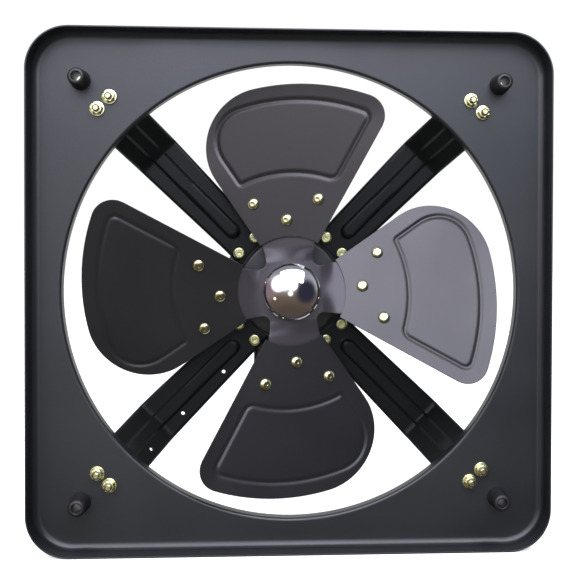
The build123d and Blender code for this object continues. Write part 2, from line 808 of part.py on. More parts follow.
def terminal_box():
    """Box open at the bottom, with a saddle on the motor's shell and posts in its corners."""
    half = box_width / 2
    saddle_r = motor_r + seat_gap
    body = block(-half, half, box_front, box_back, box_bottom, box_top)
    cavity = block(
        -half + box_wall, half - box_wall, box_front + box_wall, box_back - box_wall, box_bottom - 1, box_top
    )
    cavity -= cylinder_y(saddle_r + box_saddle, box_front - 1, box_back + 1)
    for x, y in box_post_places():
        cavity -= cylinder_z(post_r, box_bottom - 2, box_top + 1, x, y)
    body -= cavity
    body -= cylinder_y(saddle_r, box_front - 1, box_back + 1)
    for x, y in box_post_places():
        top = box_bottom + cover_screw_bite + screw_tip_room
        body -= cylinder_z(cover_screw_r + thread_gap, box_bottom - 1, top, x, y)
    for y in box_screw_places():
        body -= cylinder_z(screw_hole_r, gland_z, -shell_bore_r, 0, y)
    body -= cylinder_z(lead_hole_r, gland_z, -shell_bore_r, 0, lead_hole_y())
    return body - cylinder_y(gland_tube_r + hole_gap, box_back - box_wall - 1, box_back + 1, 0, gland_z)


def box_screws():
    """Screws from inside the box into the shell."""
    head_top = -motor_r - seat_gap - box_saddle
    screws = []
    for y in box_screw_places():
        head = cylinder_z(screw_head_r, head_top - screw_head_h, head_top, 0, y)
        screws.append(head + cylinder_z(screw_r, head_top - 0.5, -shell_bore_r - 0.2, 0, y))
    return Compound(screws)


def box_gasket():
    """Flat seal between the box and its cover."""
    half = box_width / 2
    low = box_bottom - gasket_t
    width = box_wall + 0.5
    frame = block(-half, half, box_front, box_back, low, box_bottom)
    window = block(-half + width, half - width, box_front + width, box_back - width, low - 1, box_bottom + 1)
    for x, y in box_post_places():
        window -= cylinder_z(post_r, low - 2, box_bottom + 2, x, y)
    frame -= window
    for x, y in box_post_places():
        frame -= cylinder_z(cover_screw_r + hole_gap, low - 1, box_bottom + 1, x, y)
    return frame


def box_cover():
    """Flat cover with rounded corners, under the box."""
    half = box_width / 2
    top = box_bottom - gasket_t
    cover = block(-half, half, box_front, box_back, top - cover_t, top)
    cover = fillet(cover.edges().filter_by(Axis.Z), 2.5)
    cover = fillet(cover.edges().group_by(Axis.Z)[0], 0.8)
    for x, y in box_post_places():
        cover -= cylinder_z(cover_screw_r + hole_gap, top - cover_t - 1, top + 1, x, y)
    return cover


def cover_screws():
    """Small pan-head screws up into the posts."""
    seat = box_bottom - gasket_t - cover_t
    screws = []
    for x, y in box_post_places():
        head = cylinder_z(cover_screw_head_r, seat - cover_screw_head_h, seat, x, y)
        head = fillet(head.edges().group_by(Axis.Z)[0], cover_screw_head_h / 2)
        screws.append(head + cylinder_z(cover_screw_r, seat - 0.5, box_bottom + cover_screw_bite, x, y))
    return Compound(screws)


def capacitor():
    """Run capacitor lying in the box, against its wall and just above the cover."""
    x = -box_width / 2 + box_wall + seat_gap + capacitor_r
    z = box_bottom - gasket_t + seat_gap + capacitor_r
    can = cylinder_y(capacitor_r, box_mid_y - capacitor_length / 2, box_mid_y + capacitor_length / 2, x, z)
    return fillet(can.edges().filter_by(GeomType.CIRCLE), 1.0)


def terminal_block():
    """Moulded terminal block on the side wall of the box."""
    wall = box_width / 2 - box_wall
    low = gland_z - terminal_height / 2
    front = box_mid_y - terminal_length / 2
    body = block(wall - terminal_width, wall, front, front + terminal_length, low, low + terminal_height)
    for y in terminal_screw_places():
        bottom = low + terminal_screw_bite
        body -= cylinder_z(terminal_screw_r + thread_gap, low - 1, bottom, wall - terminal_width / 2, y)
    return body


def terminal_screw_places():
    """Depths of the four terminal screws."""
    step = terminal_length / 4
    return [box_mid_y - terminal_length / 2 + (k + 0.5) * step for k in range(4)]


def terminal_screws():
    """Screws of the terminal block."""
    x = box_width / 2 - box_wall - terminal_width / 2
    low = gland_z - terminal_height / 2
    top = low + terminal_screw_bite
    return Compound([cylinder_z(terminal_screw_r, low - 1, top, x, y) for y in terminal_screw_places()])


def cable_gland():
    """Gland body through the rear wall of the box."""
    inside = box_back - box_wall - gland_locknut_t - 1
    outside = box_back + gland_hex_t + gland_tube_out
    body = hexagon_y(gland_hex_flats, box_back, box_back + gland_hex_t, 0, gland_z)
    body += cylinder_y(gland_tube_r, inside, outside, 0, gland_z)
    return body - cylinder_y(gland_tube_bore_r, inside - 1, outside + 1, 0, gland_z)


def gland_locknut():
    """Locknut of the gland, inside the box."""
    back = box_back - box_wall
    nut = hexagon_y(gland_hex_flats, back - gland_locknut_t, back, 0, gland_z)
    return nut - cylinder_y(gland_tube_r + thread_gap, back - gland_locknut_t - 1, back + 1, 0, gland_z)


def gland_seal():
    """Rubber sleeve that grips the cable."""
    front = box_back
    back = box_back + gland_hex_t + gland_tube_out
    return ring_y(gland_bore_r, gland_tube_bore_r - hole_gap, front, back, 0, gland_z)


def gland_cap():
    """Domed nut that squeezes the sleeve."""
    front = box_back + gland_hex_t
    tube_end = front + gland_tube_out
    end = tube_end + gland_cap_wall
    cap = cylinder_y(gland_cap_r, front, end, 0, gland_z)
    cap = fillet(back_edges(cap), gland_cap_round)
    cap -= cylinder_y(gland_tube_r + thread_gap, front - 1, tube_end, 0, gland_z)
    return cap - cylinder_y(gland_mouth_r, front, end + 1, 0, gland_z)


# ---------------------------------------------------------------- all nodes
nodes = {
    "frame_plate": frame_plate(),
    "mount_grommets": mount_grommets(),
    "arm_bolts": arm_bolts(),
    "arm_washers": arm_washers(),
    "arm_nuts": arm_nuts(),
    "motor_screws": motor_screws(),
    "motor_front_shield": motor_front_shield(),
    "motor_rear_shield": motor_rear_shield(),
    "motor_shell": motor_shell(),
    "stator_core": stator_core(),
    "stator_winding": stator_winding(),
    "tie_bolts": tie_bolts(),
    "bearing_wave_washer": bearing_wave_washer(),
    "terminal_box": terminal_box(),
    "box_screws": box_screws(),
    "box_gasket": box_gasket(),
    "box_cover": box_cover(),
    "cover_screws": cover_screws(),
    "capacitor": capacitor(),
    "terminal_block": terminal_block(),
    "terminal_screws": terminal_screws(),
    "cable_gland": cable_gland(),
    "gland_locknut": gland_locknut(),
    "gland_seal": gland_seal(),
    "gland_cap": gland_cap(),
    "motor_shaft": motor_shaft(),
    "rotor_core": rotor_core(),
    "rotor_end_rings": rotor_end_rings(),
    "spider": spider(),
    "hub_bush": hub_bush(),
    "hub_set_screw": hub_set_screw(),
    "hub_washer": hub_washer(),
    "hub_nut": hub_nut(),
    "hub_cap": hub_cap(),
    "blade_rivets": blade_rivets(),
}
for place, angle in diagonals.items():
    holes = arm_tie_holes if place == "lower_left" else ()
    nodes["arm_" + place] = turned(angle, motor_arm(holes))
for place, angle in blade_names.items():
    nodes["blade_" + place] = blade(angle)
for place, front in (("front", front_bearing_y), ("rear", rear_bearing_y)):
    nodes[place + "_bearing_outer_ring"] = outer_ring(front)
    nodes[place + "_bearing_inner_ring"] = inner_ring(front)
    nodes[place + "_bearing_balls"] = bearing_balls(front)
    nodes[place + "_bearing_retainer"] = bearing_retainer(front)

os.makedirs("parts", exist_ok=True)
for name, shape in nodes.items():
    export_step(shape, "parts/" + name + ".step")
    print(name, len(shape.solids()), round(shape.volume, 1))
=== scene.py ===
import math

import bmesh
import bpy
import numpy as np
from mathutils import Matrix, Vector


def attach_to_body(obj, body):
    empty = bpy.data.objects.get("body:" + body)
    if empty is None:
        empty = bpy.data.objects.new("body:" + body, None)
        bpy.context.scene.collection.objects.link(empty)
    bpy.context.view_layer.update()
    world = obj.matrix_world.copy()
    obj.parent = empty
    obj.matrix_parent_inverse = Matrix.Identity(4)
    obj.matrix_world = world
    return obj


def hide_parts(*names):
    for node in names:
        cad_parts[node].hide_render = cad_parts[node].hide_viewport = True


# Exhaust hood fan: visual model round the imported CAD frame. Sizes are in millimetres until a mesh
# is made. +X right, +Z up, -Y front, origin on the fan axis at the front face of the plate.

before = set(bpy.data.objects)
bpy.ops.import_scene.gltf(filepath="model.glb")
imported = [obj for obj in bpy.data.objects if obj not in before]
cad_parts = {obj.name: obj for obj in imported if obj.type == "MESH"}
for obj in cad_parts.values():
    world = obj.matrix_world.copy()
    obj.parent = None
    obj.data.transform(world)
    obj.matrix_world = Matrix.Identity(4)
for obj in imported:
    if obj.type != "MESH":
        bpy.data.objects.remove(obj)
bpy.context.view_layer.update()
mm = 0.001


# nodes and finishes
def addNode(tree, kind, settings):
    # a key is an input, by name or number, or a property; a value is a number, a node or a socket
    node = tree.nodes.new(kind)
    for key, value in settings.items():
        if not isinstance(key, int) and key not in node.inputs:
            setattr(node, key, value)
        elif isinstance(value, bpy.types.Node):
            tree.links.new(value.outputs[0], node.inputs[key])
        elif isinstance(value, bpy.types.NodeSocket):
            tree.links.new(value, node.inputs[key])
        else:
            node.inputs[key].default_value = value
    return node


def linearColour(hexCode):
    # sRGB hex to linear red, green, blue, alpha
    parts = [int(hexCode[i:i + 2], 16) / 255 for i in (1, 3, 5)]
    return [c / 12.92 if c <= 0.04045 else ((c + 0.055) / 1.055) ** 2.4 for c in parts] + [1.0]


def calc(tree, operation, *values):
    return addNode(tree, "ShaderNodeMath", {"operation": operation, **dict(enumerate(values))})


def perMetre(sizeMm):
    # noise scale whose features are this many millimetres across
    return 1 / (sizeMm * mm)


def noise(tree, place, sizeMm, detail):
    return addNode(tree, "ShaderNodeTexNoise", {
        "Vector": place, "Scale": perMetre(sizeMm), "Detail": detail}).outputs["Fac"]


def rings(tree, place, spacingMm, settings):
    # rings round the fan axis
    return addNode(tree, "ShaderNodeTexWave", {
        "wave_type": "RINGS", "rings_direction": "Y", "Vector": place, "Scale": perMetre(spacingMm) / 20,
        **settings}).outputs["Fac"]


def blend(tree, share, dark, light):
    return addNode(tree, "ShaderNodeMix", {
        "data_type": "RGBA", 0: share, 6: linearColour(dark), 7: linearColour(light)}).outputs[2]


def between(tree, value, low, high, start=0.0, stop=1.0):
    return addNode(tree, "ShaderNodeMapRange", {
        "Value": value, "From Min": start, "From Max": stop, "To Min": low, "To Max": high})


def relief(tree, height, strength, depthMm):
    return addNode(tree, "ShaderNodeBump", {
        "Height": height, "Strength": strength, "Distance": depthMm * mm})


def newFinish(name):
    finish = bpy.data.materials.new(name)
    finish.use_nodes = True
    tree = finish.node_tree
    tree.nodes.clear()
    place = addNode(tree, "ShaderNodeTexCoord", {}).outputs["Object"]
    return finish, tree, place


def closeFinish(tree, colour, gloss, settings):
    shader = addNode(tree, "ShaderNodeBsdfPrincipled", {
        "Base Color": colour, "Roughness": gloss, **settings})
    addNode(tree, "ShaderNodeOutputMaterial", {"Surface": shader})


def stovedEnamel(name, light, dark, roughness, specular):
    # semi-gloss black enamel, sprayed on pressed steel and stoved: a soft reflection with a faint
    # orange peel of 2 mm waves, thinner and duller in patches a hand wide
    finish, tree, place = newFinish(name)
    patches = noise(tree, place, 70, 2.0)
    peel = calc(tree, "MULTIPLY_ADD", noise(tree, place, 0.7, 1.0), 0.25, noise(tree, place, 2.0, 2.0))
    closeFinish(tree, blend(tree, patches, dark, light),
                between(tree, patches, roughness - 0.04, roughness + 0.05, 0.3, 0.7),
                {"Normal": relief(tree, peel, 0.12, 0.3), "Specular IOR Level": specular, "IOR": 1.5})
    return finish


def platedMetal(name, light, dark, roughness, patchMm, bumpStrength):
    # bright plating on small steel parts: the colour drifts from pale to deeper over a few
    # millimetres, with fine tumbling marks that break up the highlights
    finish, tree, place = newFinish(name)
    marks = noise(tree, place, 0.6, 2.0)
    closeFinish(tree, blend(tree, noise(tree, place, patchMm, 3.0), dark, light),
                between(tree, marks, roughness - 0.05, roughness + 0.08),
                {"Normal": relief(tree, marks, bumpStrength, 0.1), "Metallic": 1.0})
    return finish


def turnedMetal(name, light, dark, roughness, ringMm):
    # steel or brass cut on a lathe or ground: fine rings round the fan axis give streaked highlights
    finish, tree, place = newFinish(name)
    cuts = rings(tree, place, ringMm, {"Distortion": 1.0, "Detail": 2.0})
    closeFinish(tree, blend(tree, noise(tree, place, 5, 3.0), dark, light),
                between(tree, cuts, roughness - 0.05, roughness + 0.08),
                {"Normal": relief(tree, cuts, 0.15, 0.05), "Metallic": 1.0})
    return finish


def castAlloy(name, light, dark, roughness):
    # die-cast aluminium: a dull skin with shallow pits about 1 mm apart and grey clouds from the die
    finish, tree, place = newFinish(name)
    clouds = noise(tree, place, 18, 4.0)
    closeFinish(tree, blend(tree, clouds, dark, light),
                between(tree, clouds, roughness - 0.06, roughness + 0.08),
                {"Normal": relief(tree, noise(tree, place, 1.2, 3.0), 0.3, 0.2), "Metallic": 1.0})
    return finish


def mouldedPolymer(name, light, dark, roughness, grainMm, bumpStrength):
    # moulded rubber or plastic: an even tone with a fine spark-eroded grain that keeps it matt
    finish, tree, place = newFinish(name)
    grain = noise(tree, place, grainMm, 2.0)
    closeFinish(tree, blend(tree, noise(tree, place, 12, 2.0), dark, light),
                between(tree, grain, roughness - 0.05, roughness + 0.05),
                {"Normal": relief(tree, grain, bumpStrength, 0.1)})
    return finish


def varnishedWire(name):
    # copper wire under baked varnish: parallel turns about 1 mm apart, brown gloss over orange metal
    finish, tree, place = newFinish(name)
    turns = rings(tree, place, 1.0, {"Distortion": 2.0})
    closeFinish(tree, blend(tree, turns, "#4a1f0c", "#b5622c"), 0.3, {
        "Normal": relief(tree, turns, 0.5, 0.4), "Metallic": 0.6, "Coat Weight": 0.6,
        "Coat Roughness": 0.2})
    return finish


# the plate's enamel is the same black paint with a cool blue cast: a painted reflection of the bluish light
# above
plateEnamelPaintedReflection = stovedEnamel("plateEnamelPaintedReflection", "#161a1b", "#101314", 0.36, 0.5)
bladeEnamel = stovedEnamel("bladeEnamel", "#191a1a", "#131314", 0.38, 0.5)
# the spider's enamel is the same black paint made much paler: a painted sheen for the light it catches beside
# the chrome cap
spiderEnamelPaintedSheen = stovedEnamel("spiderEnamelPaintedSheen", "#2f2c30", "#242226", 0.42, 0.42)
# the arms' enamel is the same black paint, made darker and far less glossy: painted shade for the arms lying
# in the shadow of the plate and blades
armEnamel = stovedEnamel("armEnamel", "#0e1110", "#080a09", 0.34, 0.12)
motorEnamel = stovedEnamel("motorEnamel", "#131614", "#0b0d0c", 0.40, 0.45)
yellowZinc = platedMetal("yellowZinc", "#dcdcb6", "#b4b376", 0.24, 4.0, 0.08)
brightChrome = platedMetal("brightChrome", "#ececee", "#e0e0e3", 0.06, 30.0, 0.0)
lampSteel = platedMetal("lampSteel", "#8d9197", "#6f737a", 0.42, 3.0, 0.4)
groundSteel = turnedMetal("groundSteel", "#c4c7cb", "#a3a6ab", 0.26, 0.4)
turnedBrass = turnedMetal("turnedBrass", "#d9b667", "#b08c3f", 0.28, 0.4)
dieCast = castAlloy("dieCast", "#c3c5c8", "#989b9f", 0.42)
blackRubber = mouldedPolymer("blackRubber", "#0d0e11", "#08090b", 0.5, 0.5, 0.25)
blackNylon = mouldedPolymer("blackNylon", "#1b1b1c", "#121213", 0.45, 0.6, 0.35)
naturalNylon = mouldedPolymer("naturalNylon", "#c39a6b", "#a67d51", 0.45, 0.6, 0.2)
whiteNylon = mouldedPolymer("whiteNylon", "#e6e6e0", "#d6d6cf", 0.42, 0.6, 0.2)
windingWire = varnishedWire("windingWire")
print("finishes made")


# mesh helpers
def newPiece(name, points, faces):
    mesh = bpy.data.meshes.new(name)
    mesh.from_pydata([[c * mm for c in p] for p in points], [], faces)
    piece = bpy.data.objects.new(name, mesh)
    bpy.context.scene.collection.objects.link(piece)
    return piece


def cleanMesh(piece, sharpDegrees=32, outward=True):
    # closes seams and poles, turns faces outwards and keeps the pressed and cut edges crisp
    work = bmesh.new()
    work.from_mesh(piece.data)
    bmesh.ops.remove_doubles(work, verts=work.verts, dist=2e-6)
    bmesh.ops.dissolve_degenerate(work, edges=work.edges, dist=1e-6)
    if outward:
        bmesh.ops.recalc_face_normals(work, faces=work.faces)
    work.to_mesh(piece.data)
    work.free()
    piece.data.shade_smooth()
    piece.data.set_sharp_from_angle(angle=math.radians(sharpDegrees))
    return piece


def plainMesh(piece):
    # the evaluated result as a plain mesh, with the modifiers gone
    graph = bpy.context.evaluated_depsgraph_get()
    graph.update()
    piece.data = bpy.data.meshes.new_from_object(piece.evaluated_get(graph))
    piece.modifiers.clear()
    return piece


def thicken(piece, sheet, offset, edgeRound, sharpDegrees=32):
    # gives a pressed surface its sheet thickness and breaks the cut edges
    wall = piece.modifiers.new("sheet", "SOLIDIFY")
    wall.thickness = sheet * mm
    wall.offset = offset
    wall.use_even_offset = True
    soften = piece.modifiers.new("cutEdge", "BEVEL")
    soften.width = edgeRound * mm
    soften.segments = 2
    soften.limit_method = "ANGLE"
    soften.angle_limit = math.radians(50)
    return cleanMesh(plainMesh(piece), sharpDegrees)


def gridFaces(rows, columns, wrap=False):
    # quads between rows of points; wrap joins the last column to the first
    faces = []
    for i in range(rows - 1):
        for j in range(columns if wrap else columns - 1):
            k = (j + 1) % columns
            faces.append((i * columns + j, i * columns + k, (i + 1) * columns + k, (i + 1) * columns + j))
    return faces


def roundedPath(corners, steps=6):
    # a line through (across, depth, round) corners, each turned with its own radius
    path = []
    for i, (x, y, radius) in enumerate(corners):
        here = Vector((x, y))
        if radius == 0 or i in (0, len(corners) - 1):
            path.append((x, y))
            continue
        before = (Vector(corners[i - 1][:2]) - here).normalized()
        after = (Vector(corners[i + 1][:2]) - here).normalized()
        half = before.angle(after) / 2
        reach = radius / math.tan(half)
        centre = here + (before + after).normalized() * radius / math.sin(half)
        start = here + before * reach - centre
        turn = start.angle_signed(here + after * reach - centre)
        for k in range(steps + 1):
            swing = Matrix.Rotation(-turn * k / steps, 2)
            path.append(tuple(centre + swing @ start))
    return path


def smoothStep(value):
    share = np.clip(value, 0, 1)
    return share * share * (3 - 2 * share)


def attach(piece, body, finish, cadNodes):
    if not piece.data.materials:
        piece.data.materials.append(finish)
    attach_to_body(piece, body)
    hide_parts(*cadNodes)


# geometry node trees
def newTree(name, inputs):
    tree = bpy.data.node_groups.new(name, "GeometryNodeTree")
    tree.interface.new_socket("Part", in_out="INPUT", socket_type="NodeSocketGeometry")
    for label, kind in inputs.items():
        tree.interface.new_socket(label, in_out="INPUT", socket_type="NodeSocket" + kind)
    tree.interface.new_socket("Result", in_out="OUTPUT", socket_type="NodeSocketGeometry")
    given = addNode(tree, "NodeGroupInput", {})
    return tree, given.outputs


def closeTree(tree, given, geometry):
    whole = addNode(tree, "GeometryNodeRealizeInstances", {"Geometry": geometry})
    welded = addNode(tree, "GeometryNodeMergeByDistance", {"Geometry": whole, "Distance": 1e-6})
    coated = addNode(tree, "GeometryNodeSetMaterial", {"Geometry": welded, "Material": given["Finish"]})
    addNode(tree, "NodeGroupOutput", {"Result": coated})
    return tree


def turnAbout(tree, axis, angle):
    euler = addNode(tree, "ShaderNodeCombineXYZ", {axis: angle})
    return addNode(tree, "FunctionNodeEulerToRotation", {"Euler": euler})


def spunTree():
    # spins profile points (distance from the axis, depth) into a surface round the fan axis
    tree, given = newTree("spunProfile", {"Steps": "Int", "Finish": "Material"})
    size = addNode(tree, "GeometryNodeAttributeDomainSize", {"Geometry": given["Part"]})
    columns = calc(tree, "ADD", given["Steps"], 1.0)
    grid = addNode(tree, "GeometryNodeMeshGrid", {"Vertices X": columns, "Vertices Y": size})
    index = addNode(tree, "GeometryNodeInputIndex", {})
    row = calc(tree, "MODULO", index, size)
    along = calc(tree, "SUBTRACT", index, row)
    column = calc(tree, "DIVIDE", along, size)
    share = calc(tree, "DIVIDE", column, given["Steps"])
    angle = calc(tree, "MULTIPLY", share, 2 * math.pi)
    place = addNode(tree, "GeometryNodeInputPosition", {})
    sample = addNode(tree, "GeometryNodeSampleIndex", {
        "data_type": "FLOAT_VECTOR", "Geometry": given["Part"], "Value": place, "Index": row})
    parts = addNode(tree, "ShaderNodeSeparateXYZ", {"Vector": sample})
    cosine = calc(tree, "COSINE", angle)
    sine = calc(tree, "SINE", angle)
    x = calc(tree, "MULTIPLY", parts.outputs["X"], cosine)
    z = calc(tree, "MULTIPLY", parts.outputs["X"], sine)
    spot = addNode(tree, "ShaderNodeCombineXYZ", {"X": x, "Y": parts.outputs["Y"], "Z": z})
    spun = addNode(tree, "GeometryNodeSetPosition", {"Geometry": grid, "Position": spot})
    return closeTree(tree, given, spun)


def armSetTree():
    # puts parts on the arms round the axis, one or two across each arm, each turned a little
    tree, given = newTree("setsOnArms", {
        "Arms": "Int", "Per Arm": "Int", "Along": "Float", "Spacing": "Float", "Start Angle": "Float",
        "Loose Turn": "Float", "Seed": "Int", "Finish": "Material"})
    total = calc(tree, "MULTIPLY", given["Arms"], given["Per Arm"])
    points = addNode(tree, "GeometryNodePoints", {"Count": total})
    index = addNode(tree, "GeometryNodeInputIndex", {})
    place = calc(tree, "MODULO", index, given["Per Arm"])
    before = calc(tree, "SUBTRACT", index, place)
    arm = calc(tree, "DIVIDE", before, given["Per Arm"])
    share = calc(tree, "DIVIDE", arm, given["Arms"])
    angle = calc(tree, "MULTIPLY_ADD", share, 2 * math.pi, given["Start Angle"])
    last = calc(tree, "SUBTRACT", given["Per Arm"], 1.0)
    middle = calc(tree, "MULTIPLY", last, 0.5)
    side = calc(tree, "SUBTRACT", place, middle)
    across = calc(tree, "MULTIPLY", side, given["Spacing"])
    spot = addNode(tree, "ShaderNodeCombineXYZ", {"X": given["Along"], "Z": across})
    back = calc(tree, "MULTIPLY", angle, -1.0)
    swung = addNode(tree, "ShaderNodeVectorRotate", {
        "rotation_type": "Y_AXIS", "Vector": spot, "Angle": back})
    placed = addNode(tree, "GeometryNodeSetPosition", {"Geometry": points, "Position": swung})
    least = calc(tree, "MULTIPLY", given["Loose Turn"], -1.0)
    loose = addNode(tree, "FunctionNodeRandomValue", {
        "data_type": "FLOAT", 2: least, 3: given["Loose Turn"], "Seed": given["Seed"]})
    turn = calc(tree, "ADD", back, loose.outputs[1])
    copies = addNode(tree, "GeometryNodeInstanceOnPoints", {
        "Points": placed, "Instance": given["Part"], "Rotation": turnAbout(tree, "Y", turn)})
    return closeTree(tree, given, copies)


def cornerTree():
    # puts a part on the four corners of a rectangle that faces the front, or lies flat if tilted
    tree, given = newTree("partsOnCorners", {
        "Width": "Float", "Height": "Float", "Tilt": "Float", "Centre": "Vector", "Finish": "Material"})
    grid = addNode(tree, "GeometryNodeMeshGrid", {
        "Size X": given["Width"], "Size Y": given["Height"], "Vertices X": 2, "Vertices Y": 2})
    turned = addNode(tree, "GeometryNodeTransform", {
        "Geometry": grid, "Translation": given["Centre"], "Rotation": turnAbout(tree, "X", given["Tilt"])})
    copies = addNode(tree, "GeometryNodeInstanceOnPoints", {
        "Points": turned, "Instance": given["Part"]})
    return closeTree(tree, given, copies)


def rivetTree():
    # three rivets in each pitched blade: one on the blade's axis and a pair further out
    tree, given = newTree("rivetsInBlades", {
        "Blades": "Int", "Inner Radius": "Float", "Pair Along": "Float", "Pair Across": "Float",
        "Pitch": "Float", "Depth": "Float", "Start Angle": "Float", "Finish": "Material"})
    points = addNode(tree, "GeometryNodePoints", {"Count": 3})
    index = addNode(tree, "GeometryNodeInputIndex", {})
    side = calc(tree, "SUBTRACT", index, 1.0)
    paired = calc(tree, "ABSOLUTE", side)
    along = addNode(tree, "ShaderNodeMapRange", {
        "Value": paired, "To Min": given["Inner Radius"], "To Max": given["Pair Along"]})
    across = calc(tree, "MULTIPLY", side, given["Pair Across"])
    spot = addNode(tree, "ShaderNodeCombineXYZ", {"X": along, "Z": across})
    placed = addNode(tree, "GeometryNodeSetPosition", {"Geometry": points, "Position": spot})
    trio = addNode(tree, "GeometryNodeInstanceOnPoints", {"Points": placed, "Instance": given["Part"]})
    back = calc(tree, "MULTIPLY", given["Pitch"], -1.0)
    lift = addNode(tree, "ShaderNodeCombineXYZ", {"Y": given["Depth"]})
    pitched = addNode(tree, "GeometryNodeTransform", {
        "Geometry": trio, "Translation": lift, "Rotation": turnAbout(tree, "X", back)})
    hub = addNode(tree, "GeometryNodePoints", {"Count": given["Blades"]})
    blade = addNode(tree, "GeometryNodeInputIndex", {})
    share = calc(tree, "DIVIDE", blade, given["Blades"])
    angle = calc(tree, "MULTIPLY_ADD", share, 2 * math.pi, given["Start Angle"])
    turn = calc(tree, "MULTIPLY", angle, -1.0)
    copies = addNode(tree, "GeometryNodeInstanceOnPoints", {
        "Points": hub, "Instance": pitched, "Rotation": turnAbout(tree, "Y", turn)})
    return closeTree(tree, given, copies)


spunProfile = spunTree()
setsOnArms = armSetTree()
partsOnCorners = cornerTree()
rivetsInBlades = rivetTree()


def shapeBy(piece, tree, values):
    # runs a node tree on a piece and keeps the result as a plain mesh
    rule = piece.modifiers.new(tree.name, "NODES")
    rule.node_group = tree
    for socket in tree.interface.items_tree:
        if socket.name in values:
            rule[socket.identifier] = values[socket.name]
    return cleanMesh(plainMesh(piece))


def spinPiece(name, profile, steps, finish, sharpDegrees=32):
    piece = newPiece(name, [(r, y, 0) for r, y in profile], [])
    shapeBy(piece, spunProfile, {"Steps": steps, "Finish": finish})
    return cleanMesh(piece, sharpDegrees)


print("node trees made")

# camera first, at the viewing angle of the fan on its stand
cameraSizes = {
    "place": (-18.2, -705.7, 38.3), "down": 0.87, "roll": -0.17, "yaw": -3.39, "lens": 60.96,
    "shiftX": -0.06, "shiftY": -0.063}
cameraData = bpy.data.cameras.new("viewCamera")
cameraData.lens = cameraSizes["lens"]
cameraData.shift_x = cameraSizes["shiftX"]
cameraData.shift_y = cameraSizes["shiftY"]
cameraData.clip_start = 0.01
camera = bpy.data.objects.new("viewCamera", cameraData)
camera.matrix_world = (
    Matrix.Translation([c * mm for c in cameraSizes["place"]])
    @ Matrix.Rotation(math.radians(cameraSizes["yaw"]), 4, "Z")
    @ Matrix.Rotation(math.radians(90 - cameraSizes["down"]), 4, "X")
    @ Matrix.Rotation(math.radians(-cameraSizes["roll"]), 4, "Z"))
bpy.context.scene.collection.objects.link(camera)
bpy.context.scene.camera = camera


# frame plate
plate = {
    "half": 185.0, "cornerRound": 30.0, "sheet": 1.2, "rimDepth": 18.0, "rimBend": 6.0,
    "openingRadius": 163.6, "collarBend": 2.0, "collarDepth": 10.0, "edgeRound": 0.3,
    "mountHalf": 150.0, "mountHole": 5.0, "boltAlong": 189.5, "boltSpacing": 12.1, "boltHole": 2.75,
    "cornerSteps": 20, "sideSteps": 16, "openingSteps": 192, "bendSteps": 8, "flatMargin": 0.6}


def squareLoop(half, cornerRound, y):
    # a rounded square across Y, with the same number of points at every size
    reach = half - cornerRound
    loop = []
    for corner in range(4):
        cx, cz = ((1, 1), (-1, 1), (-1, -1), (1, -1))[corner]
        for k in range(plate["cornerSteps"] + 1):
            a = math.radians(90 * (corner + k / plate["cornerSteps"]))
            loop.append((cx * reach + cornerRound * math.cos(a), y, cz * reach + cornerRound * math.sin(a)))
        start = Vector(loop[-1])
        a = math.radians(90 * (corner + 1))
        nx, nz = ((-1, 1), (-1, -1), (1, -1), (1, 1))[corner]
        end = Vector((nx * reach + cornerRound * math.cos(a), y, nz * reach + cornerRound * math.sin(a)))
        loop += [tuple(start.lerp(end, k / plate["sideSteps"])) for k in range(1, plate["sideSteps"])]
    return loop


def circleLoop(radius, y, steps, x=0.0, z=0.0):
    turns = [2 * math.pi * k / steps for k in range(steps)]
    return [(x + radius * math.cos(a), y, z + radius * math.sin(a)) for a in turns]


def alongAcross(u, w, degrees):
    # X and Z of a point u along and w across an arm that points at the angle
    a = math.radians(degrees)
    return u * math.cos(a) - w * math.sin(a), u * math.sin(a) + w * math.cos(a)


